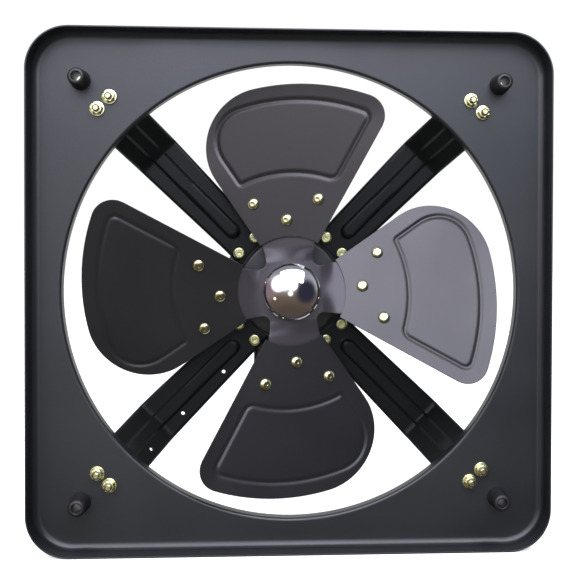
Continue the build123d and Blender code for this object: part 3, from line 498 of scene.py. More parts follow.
def makePlate():
    # front surface of the tray, rim lip to collar, then thickened towards the back
    inner = plate["half"] - plate["sheet"]
    bend = plate["rimBend"] - plate["sheet"]
    corner = inner - (plate["cornerRound"] - plate["sheet"])
    rim = roundedPath([(inner, -plate["rimDepth"], 0), (inner, 0, bend),
                       (inner - bend - plate["flatMargin"], 0, 0)], plate["bendSteps"])
    rim[1:1] = [(inner, -plate["rimDepth"] * 0.6)]
    rimLoops = [squareLoop(h, h - corner, y) for h, y in rim]
    edge = plate["openingRadius"] + plate["collarBend"] + plate["flatMargin"]
    collar = roundedPath([(edge, 0, 0), (plate["openingRadius"], 0, plate["collarBend"]),
                          (plate["openingRadius"], plate["collarDepth"], 0)], plate["bendSteps"])
    collarLoops = [circleLoop(r, y, plate["openingSteps"]) for r, y in collar]
    work = bmesh.new()
    openEdges = []
    for loops, flatIndex in ((rimLoops, -1), (collarLoops, 0)):
        rows = [[work.verts.new([c * mm for c in p]) for p in loop] for loop in loops]
        count = len(rows[0])
        for a, b in zip(rows, rows[1:]):
            for k in range(count):
                work.faces.new((a[k], a[(k + 1) % count], b[(k + 1) % count], b[k]))
        flat = rows[flatIndex]
        openEdges += [work.edges.get((flat[k], flat[(k + 1) % count])) for k in range(count)]
    holes = [(plate["mountHole"], 32, x, z) for x in (-plate["mountHalf"], plate["mountHalf"])
             for z in (-plate["mountHalf"], plate["mountHalf"])]
    half = plate["boltSpacing"] / 2
    for degrees in (45, 135, 225, 315):
        for w in (-half, half):
            holes.append((plate["boltHole"], 20, *alongAcross(plate["boltAlong"], w, degrees)))
    for radius, steps, x, z in holes:
        ring = [work.verts.new([c * mm for c in p]) for p in circleLoop(radius, 0, steps, x, z)]
        openEdges += [work.edges.new((ring[k], ring[(k + 1) % steps])) for k in range(steps)]
    bmesh.ops.triangle_fill(work, use_beauty=True, edges=openEdges)
    bmesh.ops.recalc_face_normals(work, faces=work.faces)
    flatFace = max(work.faces, key=lambda f: f.calc_area())
    if flatFace.normal.y > 0:
        bmesh.ops.reverse_faces(work, faces=work.faces)
    mesh = bpy.data.meshes.new("framePlate")
    work.to_mesh(mesh)
    work.free()
    piece = bpy.data.objects.new("framePlate", mesh)
    bpy.context.scene.collection.objects.link(piece)
    return thicken(piece, plate["sheet"], -1, plate["edgeRound"], 18)


attach(makePlate(), "frame", plateEnamelPaintedReflection, ["frame_plate"])
print("frame plate made")

# rubber stand-offs in the corners
grommet = {
    "bore": 3.25, "front": 5.9, "base": 7.2, "neck": 4.9, "flange": 7.2, "height": 18.0,
    "throat": 1.2, "tail": 3.7, "edge": 0.8, "crown": 2.0, "steps": 40}
profile = roundedPath([
    (grommet["bore"], -5, 0), (grommet["bore"], -grommet["height"], 0.5),
    (grommet["front"], -grommet["height"], grommet["crown"]), (grommet["base"], -0.05, 0.3),
    (grommet["neck"], -0.05, 0), (grommet["neck"], grommet["throat"] + 0.05, 0),
    (grommet["flange"], grommet["throat"] + 0.05, 0.3), (grommet["flange"], grommet["tail"], grommet["edge"]),
    (grommet["bore"], grommet["tail"], 0.5), (grommet["bore"], -5, 0)], 4)
grommets = spinPiece("mountGrommets", profile, grommet["steps"], blackRubber)
shapeBy(grommets, partsOnCorners, {
    "Width": 2 * plate["mountHalf"] * mm, "Height": 2 * plate["mountHalf"] * mm,
    "Tilt": math.pi / 2, "Finish": blackRubber})
attach(grommets, "frame", blackRubber, ["mount_grommets"])


# bolts, nuts and washers at the arms' feet
def latheGrid(name, outline, steps, shape, sharpDegrees=32):
    # (radius, depth) points carried round the axis; shape gives each its own radius and depth
    points = []
    for r, y in outline:
        for k in range(steps):
            a = 2 * math.pi * k / steps
            reach, depth = shape(r, y, a)
            points.append((reach * math.cos(a), depth, reach * math.sin(a)))
    return cleanMesh(newPiece(name, points, gridFaces(len(outline), steps, wrap=True)), sharpDegrees)


def hexPiece(name, flats, stations, bore, steps=72):
    # a hexagon along Y whose corners are cut back to the given radius at each (depth, radius)
    def cutToHexagon(r, y, a):
        flat = (a + math.pi / 6) % (math.pi / 3) - math.pi / 6
        return min(flats / 2 / math.cos(flat), r), y

    outline = [(r, y) for y, r in stations]
    first, last = outline[0], outline[-1]
    if bore > 0:
        outline += [(bore, last[1]), (bore, first[1]), first]
    else:
        outline = [(0, first[1])] + outline + [(0, last[1])]
    return latheGrid(name, outline, steps, cutToHexagon)


fastener = {
    "nutFlats": 8.0, "nutHeight": 4.0, "washer": 5.4, "washerHeight": 1.0, "hole": 2.7, "bolt": 2.5,
    "tip": -8.0, "footBack": 3.2, "headHeight": 3.5, "pitchStep": 0.8, "looseTurn": 0.5}
boltPlaces = {
    "Arms": 4, "Per Arm": 2, "Along": plate["boltAlong"] * mm, "Spacing": plate["boltSpacing"] * mm,
    "Start Angle": math.pi / 4, "Loose Turn": fastener["looseTurn"]}
corner = fastener["nutFlats"] / math.sqrt(3)

nutFront = -fastener["washerHeight"] - fastener["nutHeight"]
nuts = hexPiece("armNuts", fastener["nutFlats"], [
    (nutFront, corner - 1.0), (nutFront + 0.3, corner - 0.45), (nutFront + 0.7, corner),
    (-fastener["washerHeight"] - 0.5, corner), (-fastener["washerHeight"], corner - 0.4)], fastener["bolt"])
shapeBy(nuts, setsOnArms, {**boltPlaces, "Seed": 4, "Finish": yellowZinc})
attach(nuts, "frame", yellowZinc, ["arm_nuts"])

profile = roundedPath([
    (4.0, 0, 0), (fastener["hole"], 0, 0), (fastener["hole"], -fastener["washerHeight"], 0.2),
    (fastener["washer"], -fastener["washerHeight"], 0.35), (fastener["washer"], 0, 0.1), (4.0, 0, 0)], 3)
washers = spinPiece("armWashers", profile, 40, yellowZinc)
shapeBy(washers, setsOnArms, {**boltPlaces, "Seed": 2, "Finish": yellowZinc})
attach(washers, "frame", yellowZinc, ["arm_washers"])

threadDepths = np.arange(fastener["tip"] + 0.9, nutFront + 0.8, fastener["pitchStep"] / 2)
thread = [(fastener["bolt"] - (0.28 if k % 2 else 0.0), y) for k, y in enumerate(threadDepths)]
headBack = fastener["footBack"] + fastener["headHeight"]
profile = [(0, fastener["tip"]), (fastener["bolt"] - 0.9, fastener["tip"]),
           (fastener["bolt"] - 0.35, fastener["tip"] + 0.5)] + thread
inHead = fastener["footBack"] + 0.5
profile += [(fastener["bolt"], 0.0), (fastener["bolt"], inHead), (0, inHead)]
bolts = spinPiece("armBolts", profile, 28, yellowZinc, 50)
heads = hexPiece("boltHeads", fastener["nutFlats"], [
    (fastener["footBack"], corner), (headBack - 0.8, corner), (headBack - 0.3, corner - 0.4),
    (headBack, corner - 1.0)], 0)


def joinPieces(main, *others):
    # adds the others' meshes to the main piece
    work = bmesh.new()
    for piece in (main, *others):
        work.from_mesh(piece.data)
    work.to_mesh(main.data)
    work.free()
    for piece in others:
        bpy.data.objects.remove(piece)
    return main


joinPieces(bolts, heads)
shapeBy(bolts, setsOnArms, {**boltPlaces, "Seed": 7, "Finish": yellowZinc})
attach(bolts, "frame", yellowZinc, ["arm_bolts"])
print("grommets and plate fasteners made")

# motor arms
arm = {
    "innerArc": 40.8, "innerHalf": 14.2, "outerHalf": 17.6, "taperEnd": 142.0, "tip": 201.5,
    "footMiddle": 2.2, "footBend": 175.0, "webBend": 142.0, "webMiddle": 44.0, "bend": 6.0, "sheet": 2.0,
    "edgeRoll": 1.2, "flange": 9.0, "flangeStart": 57.3, "flangeStop": 136.0, "flangeRamp": 8.0,
    "beadHalf": 5.6, "beadWall": 2.3, "beadHeight": 2.5, "beadStart": 62.3, "beadStop": 174.0,
    "beadFade": 14.0, "edgeRound": 0.3, "tieHole": 1.4}
tieHoles = ((80.5, 8.8, 44.0, 0.0), (124.5, 9.4, 44.0, 0.0), (156.6, 10.4, 25.5, 38.3))


def armRows():
    # stations along the arm's middle line: (blend of the inner arc, along, depth, back normal)
    web, foot = arm["webMiddle"], arm["footMiddle"]
    path = roundedPath([(arm["flangeStart"], web, 0), (arm["webBend"], web, arm["bend"]),
                        (arm["footBend"], foot, arm["bend"]), (arm["tip"], foot, 0)], 8)
    dense = []
    for (ua, ya), (ub, yb) in zip(path, path[1:]):
        span = math.hypot(ub - ua, yb - ya)
        stepLength = 1.2 if ya == yb == web else 3.0
        count = max(1, round(span / stepLength))
        dense += [(ua + (ub - ua) * k / count, ya + (yb - ya) * k / count) for k in range(count)]
    dense.append(path[-1])
    rows = [(k / 12, 0, web, (0.0, 1.0)) for k in range(12)]
    for i, (u, y) in enumerate(dense):
        ahead = dense[min(i + 1, len(dense) - 1)]
        behind = dense[max(i - 1, 0)]
        run = Vector((ahead[0] - behind[0], ahead[1] - behind[1])).normalized()
        rows.append((1.0, u, y, (-run.y, run.x)))
    return rows


def armHalf(u):
    share = np.clip((u - arm["innerArc"]) / (arm["taperEnd"] - arm["innerArc"]), 0, 1)
    return arm["innerHalf"] + (arm["outerHalf"] - arm["innerHalf"]) * share - arm["sheet"] / 2


def makeArm(name, degrees, holes):
    roll = arm["edgeRoll"]
    webColumns = 44
    rows = armRows()
    points = []
    for blend, along, depth, (nu, ny) in rows:
        u0 = along if blend == 1.0 else arm["flangeStart"]
        half = float(armHalf(u0))
        ramp = smoothStep((u0 - arm["flangeStart"] + 2) / arm["flangeRamp"])
        ramp *= smoothStep((arm["flangeStop"] + 1 - u0) / arm["flangeRamp"])
        if blend < 1.0:
            ramp = 0.0
        fall = roll + (arm["flange"] - roll) * float(ramp)
        side = [(half, fall - (fall - roll) * k / 4) for k in range(4)]
        side += [(half - roll + roll * math.cos(a), roll - roll * math.sin(a))
                 for a in (math.pi / 2 * k / 4 for k in range(4))]
        web = [(half - roll - 2 * (half - roll) * k / webColumns, 0.0) for k in range(webColumns + 1)]
        section = side + web + [(-w, d) for w, d in reversed(side)]
        for w, d in section:
            u = u0
            if blend < 1.0:
                start = math.sqrt(arm["innerArc"] ** 2 - w * w)
                u = start + (arm["flangeStart"] - start) * blend
            before = max(0.0, arm["beadStart"] - u)
            rise = smoothStep((arm["beadHalf"] - math.hypot(before, w)) / arm["beadWall"])
            rise *= smoothStep((arm["beadStop"] - u) / arm["beadFade"])
            d -= arm["beadHeight"] * float(rise)
            x, z = alongAcross(u + nu * d, w, degrees)
            points.append((x, depth + ny * d, z))
    columns = len(points) // len(rows)
    piece = newPiece(name, points, gridFaces(len(rows), columns))
    cleanMesh(piece)
    thicken(piece, arm["sheet"], 0, arm["edgeRound"], 24)
    for u, w, y, tilt in holes:
        points = [p for depth in (-6, 6) for p in circleLoop(arm["tieHole"], depth, 24)]
        ends = [tuple(range(24)), tuple(range(47, 23, -1))]
        cutter = newPiece("tieCutter", points, gridFaces(2, 24, wrap=True) + ends)
        cleanMesh(cutter)
        x, z = alongAcross(u, w, degrees)
        cutter.data.transform(
            Matrix.Translation((x * mm, y * mm, z * mm)) @ Matrix.Rotation(math.radians(-degrees), 4, "Y")
            @ Matrix.Rotation(math.radians(-tilt), 4, "Z"))
        cut = piece.modifiers.new("tieHole", "BOOLEAN")
        cut.operation = "DIFFERENCE"
        cut.object = cutter
        plainMesh(piece)
        bpy.data.objects.remove(cutter)
    return cleanMesh(piece)


for place, degrees in (("UpperRight", 45), ("UpperLeft", 135), ("LowerLeft", 225), ("LowerRight", 315)):
    holes = tieHoles if place == "LowerLeft" else ()
    cadName = "arm_" + place.replace("r", "r_", 1).lower()
    attach(makeArm("arm" + place, degrees, holes), "frame", armEnamel, [cadName])
print("motor arms made")

# screws that hold the arms to the motor
screw = {
    "head": 4.4, "front": 40.2, "seat": 43.0, "rings": 26, "steps": 48,
    "crossHalf": 0.4, "crossReach": 1.1, "crossDepth": 0.6, "channelOut": 3.3, "channelIn": 1.7,
    "channelDepth": 2.4, "channelWall": 0.45, "along": 46.65, "spacing": 16.8}


def makeScrewHead():
    # round head: a raised rim, a channel round the middle and a small cross in it
    def pressIn(r, y, a):
        if y != screw["front"]:
            return r, y
        near = min(abs(r * math.cos(a)), abs(r * math.sin(a)))
        cross = float(smoothStep((screw["crossHalf"] + 0.2 - near) / 0.25))
        cross *= float(smoothStep((screw["crossReach"] - r) / 0.4))
        channel = smoothStep((screw["channelOut"] - r) / screw["channelWall"])
        channel *= smoothStep((r - screw["channelIn"]) / screw["channelWall"])
        return r, y + screw["crossDepth"] * cross + screw["channelDepth"] * float(channel)

    outline = roundedPath([(0.0, screw["front"], 0), (screw["head"] - 0.1, screw["front"], 1.0),
                           (screw["head"], screw["seat"], 0)], 8)
    flat = [(outline[1][0] * k / screw["rings"], screw["front"]) for k in range(screw["rings"])]
    outline = flat + outline[1:] + [(0.0, screw["seat"])]
    return latheGrid("motorScrews", outline, screw["steps"], pressIn, 45)


screws = makeScrewHead()
shapeBy(screws, setsOnArms, {
    **boltPlaces, "Along": screw["along"] * mm, "Spacing": screw["spacing"] * mm, "Loose Turn": 0.9,
    "Seed": 3, "Finish": yellowZinc})
attach(screws, "frame", yellowZinc, ["motor_screws"])

# motor: front shield, shell and rear shield
motor = {
    "radius": 52.0, "housing": 36.2, "housingWall": 40.0, "housingHole": 20.0, "bossRadius": 39.2,
    "bossFront": 37.0, "bossEdge": 2.5, "shaftHole": 8.0, "mountFace": 45.0, "shellFront": 49.0,
    "shellBack": 119.0, "shieldBack": 123.0, "rearBoss": 19.5, "rearEnd": 131.0, "tieRadius": 46.3,
    "ribCount": 8, "ribInner": 19.0, "ribOuter": 41.0, "ribHalf": 1.3, "ribHeight": 3.2,
    "shellBore": 48.0, "groove": 0.6, "grooves": (55.0, 113.0), "steps": 128}
profile = roundedPath([
    (motor["housingHole"], motor["housingWall"], 0), (motor["shaftHole"], motor["housingWall"], 0),
    (motor["shaftHole"], motor["bossFront"], 0.6),
    (motor["bossRadius"], motor["bossFront"], motor["bossEdge"]),
    (motor["bossRadius"], motor["mountFace"], 0.8), (motor["radius"], motor["mountFace"], 0.8),
    (motor["radius"], motor["shellFront"], 0.2), (motor["housing"], motor["shellFront"], 0),
    (motor["housing"], motor["housingWall"], 0), (motor["housingHole"], motor["housingWall"], 0)])
attach(spinPiece("motorFrontShield", profile, motor["steps"], motorEnamel), "frame",
       motorEnamel, ["motor_front_shield"])

front, back = motor["shellFront"] + 0.05, motor["shellBack"] - 0.05
shellLine = [(motor["shellBore"], front), (motor["radius"] - 0.5, front), (motor["radius"], front + 0.45)]
for centre in motor["grooves"]:
    for k in range(9):
        a = math.pi * k / 8
        shellLine.append((motor["radius"] - motor["groove"] * math.sin(a), centre - 1.6 * math.cos(a)))
shellLine += [(motor["radius"], back - 0.45), (motor["radius"] - 0.5, back), (motor["shellBore"], back),
              (motor["shellBore"], front)]
attach(spinPiece("motorShell", shellLine, motor["steps"], motorEnamel), "frame",
       motorEnamel, ["motor_shell"])

profile = roundedPath([
    (0, motor["rearEnd"], 0), (motor["rearBoss"], motor["rearEnd"], 1.6),
    (motor["rearBoss"] + 0.6, motor["shieldBack"], 1.2), (motor["radius"], motor["shieldBack"], 1.2),
    (motor["radius"], motor["shellBack"], 0.2), (0, motor["shellBack"], 0)])
rearShield = spinPiece("motorRearShield", profile, motor["steps"], motorEnamel)


def makeRib():
    # one cast rib from the rear boss out to the rim, falling away and rounded on top
    points = []
    stations = 14
    for i in range(stations):
        share = i / (stations - 1)
        r = motor["ribInner"] + (motor["ribOuter"] - motor["ribInner"]) * share
        height = motor["ribHeight"] * float(smoothStep((1 - share) * 2.2))
        for k in range(9):
            a = math.pi * k / 8
            half = motor["ribHalf"] * (1.6 - 0.6 * math.sin(a))
            points.append((r, motor["shieldBack"] - 0.4 + (height + 0.4) * math.sin(a), half * math.cos(a)))
    faces = gridFaces(stations, 9)
    faces += [tuple(range(9)), tuple(range(9 * stations - 1, 9 * (stations - 1) - 1, -1))]
    faces += [(i * 9, (i + 1) * 9, (i + 1) * 9 + 8, i * 9 + 8) for i in range(stations - 1)]
    return cleanMesh(newPiece("rearRibs", points, faces))


ribs = makeRib()
shapeBy(ribs, setsOnArms, {
    "Arms": motor["ribCount"], "Per Arm": 1, "Start Angle": math.radians(22.5), "Finish": motorEnamel})
joinPieces(rearShield, ribs)
attach(rearShield, "frame", motorEnamel, ["motor_rear_shield"])

tieHead = {"flats": 6.93, "height": 2.8}
corner = tieHead["flats"] / math.sqrt(3)
back = motor["shieldBack"]
tieBolts = hexPiece("tieBolts", tieHead["flats"], [
    (back, corner + 1), (back + 0.5, corner), (back + tieHead["height"] - 0.6, corner),
    (back + tieHead["height"] - 0.2, corner - 0.4), (back + tieHead["height"], corner - 0.9)], 0)
shapeBy(tieBolts, setsOnArms, {
    "Arms": 4, "Per Arm": 1, "Along": motor["tieRadius"] * mm, "Loose Turn": 0.5, "Seed": 5,
    "Finish": yellowZinc})
attach(tieBolts, "frame", yellowZinc, ["tie_bolts"])
print("motor made")

# terminal box under the motor
box = {
    "half": 28.0, "front": 60.0, "back": 112.0, "top": -44.5, "bottom": -84.0, "wallRound": 3.0,
    "gasket": 0.8, "cover": 2.0, "screwX": 23.0, "screwFront": 65.0, "screwBack": 107.0,
    "screwHead": 2.8, "glandZ": -70.5}


def makeBlock(name, low, high, cornerRound, edgeRound, finish):
    # a box with rounded upright corners and broken edges
    x0, y0, z0 = low
    x1, y1, z1 = high
    points = [(x, y, z) for z in (z0, z1) for x, y in ((x0, y0), (x1, y0), (x1, y1), (x0, y1))]
    faces = [(3, 2, 1, 0), (4, 5, 6, 7)] + [(k, (k + 1) % 4, (k + 1) % 4 + 4, k + 4) for k in range(4)]
    piece = newPiece(name, points, faces)
    work = bmesh.new()
    work.from_mesh(piece.data)
    upright = [e for e in work.edges if abs(e.verts[0].co.z - e.verts[1].co.z) > mm * 0.1]
    bmesh.ops.bevel(work, geom=upright, offset=cornerRound * mm, segments=8, profile=0.5, affect="EDGES")
    level = [e for e in work.edges
             if abs(e.verts[0].co.z - e.verts[1].co.z) < 1e-7 and e.calc_face_angle(0) > 1]
    bmesh.ops.bevel(work, geom=level, offset=edgeRound * mm, segments=4, profile=0.5, affect="EDGES")
    work.to_mesh(piece.data)
    work.free()
    piece.data.materials.append(finish)
    return cleanMesh(piece)


coverTop = box["bottom"] - box["gasket"]
coverLow = coverTop - box["cover"]
for name, node, low, high, inset, edgeRound, slotName, finish in (
        ("terminalBox", "terminal_box", box["bottom"], box["top"], 0, 0.4, "black_paint", motorEnamel),
        ("boxGasket", "box_gasket", coverTop, box["bottom"], 0.3, 0.15, "black_rubber", blackRubber),
        ("boxCover", "box_cover", coverLow, coverTop, 0, 0.7, "black_paint", motorEnamel)):
    block = makeBlock(name, (-box["half"] + inset, box["front"] + inset, low),
                      (box["half"] - inset, box["back"] - inset, high), box["wallRound"], edgeRound, finish)
    attach(block, "frame", finish, [node])

coverScrews = makeScrewHead()
coverScrews.name = "coverScrews"
coverScrews.data.transform(
    Matrix.Translation((0, 0, coverLow * mm)) @ Matrix.Rotation(math.pi / 2, 4, "X")
    @ Matrix.Scale(box["screwHead"] / screw["head"], 4) @ Matrix.Translation((0, -screw["seat"] * mm, 0)))
shapeBy(coverScrews, partsOnCorners, {
    "Width": 2 * box["screwX"] * mm, "Height": (box["screwBack"] - box["screwFront"]) * mm,
    "Centre": (0.0, (box["screwFront"] + box["screwBack"]) / 2 * mm, 0.0), "Finish": yellowZinc})
attach(coverScrews, "frame", yellowZinc, ["cover_screws"])

# cable gland on the back of the box
gland = {"flats": 20.0, "hexFront": 112.0, "hexBack": 116.0, "cap": 10.5, "end": 127.7, "bore": 5.0,
         "tube": 7.9, "grips": 12, "gripDepth": 0.5, "steps": 96}
corner = gland["flats"] / math.sqrt(3)
glandBody = hexPiece("cableGland", gland["flats"], [
    (gland["hexFront"], corner - 0.5), (gland["hexFront"] + 0.5, corner), (gland["hexBack"] - 0.5, corner),
    (gland["hexBack"], corner - 0.5)], 6.0)
toGland = Matrix.Translation((0, 0, box["glandZ"] * mm))
glandBody.data.transform(toGland)
attach(glandBody, "frame", blackNylon, ["cable_gland"])


def makeGlandCap():
    # domed nut with flats for the fingers pressed into its side
    def pressGrips(r, y, a):
        grip = float(smoothStep((y - gland["hexBack"] - 1.2) / 1.0)) * float(smoothStep((r - 9.2) / 0.8))
        return r - gland["gripDepth"] * grip * (0.5 + 0.5 * math.cos(gland["grips"] * a)) ** 2, y

    outline = roundedPath([
        (gland["tube"], gland["hexBack"] + 0.1, 0), (gland["cap"], gland["hexBack"] + 0.1, 0.6),
        (gland["cap"], gland["end"], 2.5), (gland["bore"], gland["end"], 0.8),
        (gland["bore"], gland["end"] - 3.5, 0), (gland["tube"], gland["end"] - 3.7, 0),
        (gland["tube"], gland["hexBack"] + 0.1, 0)], 6)
    return latheGrid("glandCap", outline, gland["steps"], pressGrips)


glandCap = makeGlandCap()
glandCap.data.transform(toGland)
attach(glandCap, "frame", blackNylon, ["gland_cap"])
print("terminal box made")

# impeller: blades
impeller = {
    "radius": 150.0, "root": 39.5, "restAngle": 3.9, "pitch": 20.0, "depth": 10.0, "sheet": 1.2,
    "straightAngle": 32.0, "cornerRound": 16.0, "lobeAngle": 30.7, "lobeRound": 43.0,
    "panelRoot": 86.0, "panelTip": 11.5, "panelStraight": 10.5, "panelLobe": 13.0,
    "panelRounds": (6, 31, 1.5, 5), "grooveHalf": 2.8, "grooveDepth": 1.1, "rimWidth": 11.0, "rimLift": 1.0,
    "liftFrom": 75.0, "liftRun": 45.0, "edgeRound": 0.3,
    "columns": 190, "rows": 120}


def roundedLeast(a, b, radius):
    # the smaller of two distances from a side, with the corner between the sides rounded
    corner = np.hypot(np.maximum(0, radius - a), np.maximum(0, radius - b))
    return np.maximum(radius, np.minimum(a, b)) - corner


def sideDistances(u, w):
    # how far a point lies inside the straight side, the tip and the lobe side
    r = np.hypot(u, w)
    a = np.arctan2(w, u)
    straight = r * np.sin(a + math.radians(impeller["straightAngle"]))
    lobe = r * np.sin(math.radians(impeller["lobeAngle"]) - a)
    return straight, impeller["radius"] - r, lobe


def outlineReach(a):
    # distance from the axis to the outline in a direction, corners included
    reach = np.full_like(a, impeller["radius"])
    for sign, side, radius in ((-1, impeller["straightAngle"], impeller["cornerRound"]),
                               (1, impeller["lobeAngle"], impeller["lobeRound"])):
        centreReach = impeller["radius"] - radius
        centre = sign * (math.radians(side) - math.asin(radius / centreReach))
        off = a - centre
        past = sign * off > 0
        root = np.sqrt(np.maximum(0, radius ** 2 - (centreReach * np.sin(off)) ** 2))
        reach = np.where(past, centreReach * np.cos(off) + root, reach)
    return reach


def bladeRelief(u, w):
    # how far the sheet is pressed back at a point: a groove round the panel, and a rim turned forward
    straight, tip, lobe = sideDistances(u, w)
    a = straight - impeller["panelStraight"]
    b = tip - impeller["panelTip"]
    c = lobe - impeller["panelLobe"]
    e = np.hypot(u, w) - impeller["panelRoot"]
    pairs = zip((a, b, c, e), (b, c, e, a), impeller["panelRounds"])
    inside = np.minimum.reduce([roundedLeast(*pair) for pair in pairs])
    groove = impeller["grooveDepth"] * (1 - smoothStep(np.abs(inside) / impeller["grooveHalf"]))
    outer = np.minimum(roundedLeast(straight, tip, impeller["cornerRound"]),
                       roundedLeast(tip, lobe, impeller["lobeRound"]))
    share = np.clip((impeller["rimWidth"] - outer) / impeller["rimWidth"], 0, 1)
    along = smoothStep((np.hypot(u, w) - impeller["liftFrom"]) / impeller["liftRun"])
    lift = impeller["rimLift"] * share ** 1.3 * along
    return groove - lift


def makeBlade(name, degrees):
    # half a turn of cosine spacing keeps the points close together near the straight sides
    share = (1 - np.cos(np.linspace(0, math.pi, impeller["columns"]))) / 2
    low, high = -math.radians(impeller["straightAngle"]), math.radians(impeller["lobeAngle"])
    a = low + (high - low) * (0.5 * share + 0.5 * np.linspace(0, 1, impeller["columns"]))
    reach = outlineReach(a)
    t = np.linspace(0, 1, impeller["rows"])[:, None]
    r = impeller["root"] + (reach[None, :] - impeller["root"]) * t
    u, w = r * np.cos(a)[None, :], r * np.sin(a)[None, :]
    back = bladeRelief(u, w)
    pitch = math.radians(impeller["pitch"])
    localZ = w / math.cos(pitch)
    y = impeller["depth"] + back * math.cos(pitch) + localZ * math.sin(pitch)
    across = localZ * math.cos(pitch)
    x, z = alongAcross(u, across, degrees + impeller["restAngle"])
    points = np.stack([x, y, z], axis=-1).reshape(-1, 3).tolist()
    piece = newPiece(name, points, gridFaces(impeller["rows"], impeller["columns"]))
    cleanMesh(piece)
    if piece.data.polygons[len(piece.data.polygons) // 2].normal.y > 0:
        piece.data.flip_normals()
    return thicken(piece, impeller["sheet"], 0, impeller["edgeRound"])


for place, degrees in (("Right", 0), ("Top", 90), ("Left", 180), ("Bottom", 270)):
    attach(makeBlade("blade" + place, degrees), "impeller", bladeEnamel,
           ["blade_" + place.lower()])
print("blades made")

# rivets through the blades
rivet = {"head": 4.4, "headHeight": 2.3, "tail": 3.4, "tailHeight": 1.6, "dimple": 1.3,
         "dimpleDepth": 0.35, "inner": 52.0, "pair": 69.4, "pairAngle": 19.75, "spiderSheet": 2.0}
front = -impeller["sheet"] / 2
back = impeller["sheet"] / 2 + rivet["spiderSheet"]
profile = []
for k in range(15):
    a = math.pi / 2 * k / 14
    r = rivet["head"] * math.sin(a)
    dent = rivet["dimpleDepth"] * float(smoothStep((rivet["dimple"] - r) / 0.7))
    crown = (1 - math.sin(a) ** 3.2) ** 0.6
    profile.append((r, front - rivet["headHeight"] * crown + dent))
profile += [(rivet["head"], front), (2.0, front), (2.0, back)]
profile += roundedPath([(rivet["tail"], back, 0), (rivet["tail"], back + rivet["tailHeight"], 0.8),
                        (0.0, back + rivet["tailHeight"], 0)], 4)
rivets = spinPiece("bladeRivets", profile, 36, yellowZinc)
pairAngle = math.radians(rivet["pairAngle"])
shapeBy(rivets, rivetsInBlades, {
    "Blades": 4, "Inner Radius": rivet["inner"] * mm, "Pair Along": rivet["pair"] * math.cos(pairAngle) * mm,
    "Pair Across": rivet["pair"] * math.sin(pairAngle) / math.cos(math.radians(impeller["pitch"])) * mm,
    "Pitch": math.radians(impeller["pitch"]), "Depth": impeller["depth"] * mm,
    "Start Angle": math.radians(impeller["restAngle"]), "Finish": yellowZinc})
attach(rivets, "impeller", yellowZinc, ["blade_rivets"])

# spider: one arm by mesh, four of them by the node tree
spider = {
    "middle": 11.70, "sheet": 2.0, "half": 18.8, "waist": 17.2, "cornerRound": 5.0, "twistStart": 21.0,
    "twistEnd": 33.0, "waistRun": 14.0, "flareStart": 36.0, "padStart": 61.4, "padHalf": 30.0, "tip": 78.0,
    "edgeRound": 0.4}


def spiderHalf(u):
    # half width of an arm: a rounded inner corner, a waist, then the flare under the blade
    corner = spider["waist"] + spider["cornerRound"]
    diagonal = corner - spider["cornerRound"] / math.sqrt(2)
    if u <= diagonal:
        return u
    if u < corner:
        return corner - math.sqrt(spider["cornerRound"] ** 2 - (corner - u) ** 2)
    widening = float(smoothStep((u - corner) / spider["waistRun"]))
    waisted = spider["waist"] + (spider["half"] - spider["waist"]) * widening
    flare = float(np.clip((u - spider["flareStart"]) / (spider["padStart"] - spider["flareStart"]), 0, 1))
    return waisted + (spider["padHalf"] - spider["half"]) * flare


def makeSpiderArm():
    columns = 40
    corner = spider["waist"] + spider["cornerRound"]
    diagonal = corner - spider["cornerRound"] / math.sqrt(2)
    stations = [diagonal * k / 16 for k in range(17)]
    stations += [diagonal + (corner - diagonal) * k / 8 for k in range(1, 9)]
    stations += [corner + (spider["tip"] - corner) * k / 44 for k in range(1, 45)]
    slope = math.tan(math.radians(impeller["pitch"]))
    points = []
    for u in stations:
        half = spiderHalf(u)
        twist = float(smoothStep((u - spider["twistStart"]) / (spider["twistEnd"] - spider["twistStart"])))
        for k in range(columns + 1):
            w = half * (2 * k / columns - 1)
            points.append((u, spider["middle"] + twist * w * slope, w))
    piece = newPiece("spider", points, gridFaces(len(stations), columns + 1))
    return cleanMesh(piece)


spiderPiece = makeSpiderArm()
shapeBy(spiderPiece, setsOnArms, {
    "Arms": 4, "Per Arm": 1, "Start Angle": math.radians(impeller["restAngle"]), "Finish": spiderEnamelPaintedSheen})
thicken(spiderPiece, spider["sheet"], 0, spider["edgeRound"])
attach(spiderPiece, "impeller", spiderEnamelPaintedSheen, ["spider"])

# hub cap
cap = {"radius": 20.4, "wall": 1.2, "skirtFront": -2.3, "back": 10.68, "dome": 9.0, "steps": 128}


def domeLine(radius, height, y, steps):
    # a round dome's outline from its crown on the axis to its rim
    roundR = (radius ** 2 + height ** 2) / (2 * height)
    swing = math.asin(radius / roundR)
    turns = [swing * k / steps for k in range(steps + 1)]
    return [(roundR * math.sin(a), y - height + roundR * (1 - math.cos(a))) for a in turns]


outer = domeLine(cap["radius"], cap["dome"], cap["skirtFront"], 48)
inner = domeLine(cap["radius"] - cap["wall"], cap["dome"] - cap["wall"], cap["skirtFront"], 24)
rimLine = roundedPath([outer[-1] + (0,), (cap["radius"], cap["back"], 0.4),
                       (cap["radius"] - cap["wall"], cap["back"], 0.3), inner[-1] + (0,)], 4)
attach(spinPiece("hubCap", outer[:-1] + rimLine + inner[::-1][1:], cap["steps"], brightChrome),
       "impeller", brightChrome, ["hub_cap"])
print("impeller made")

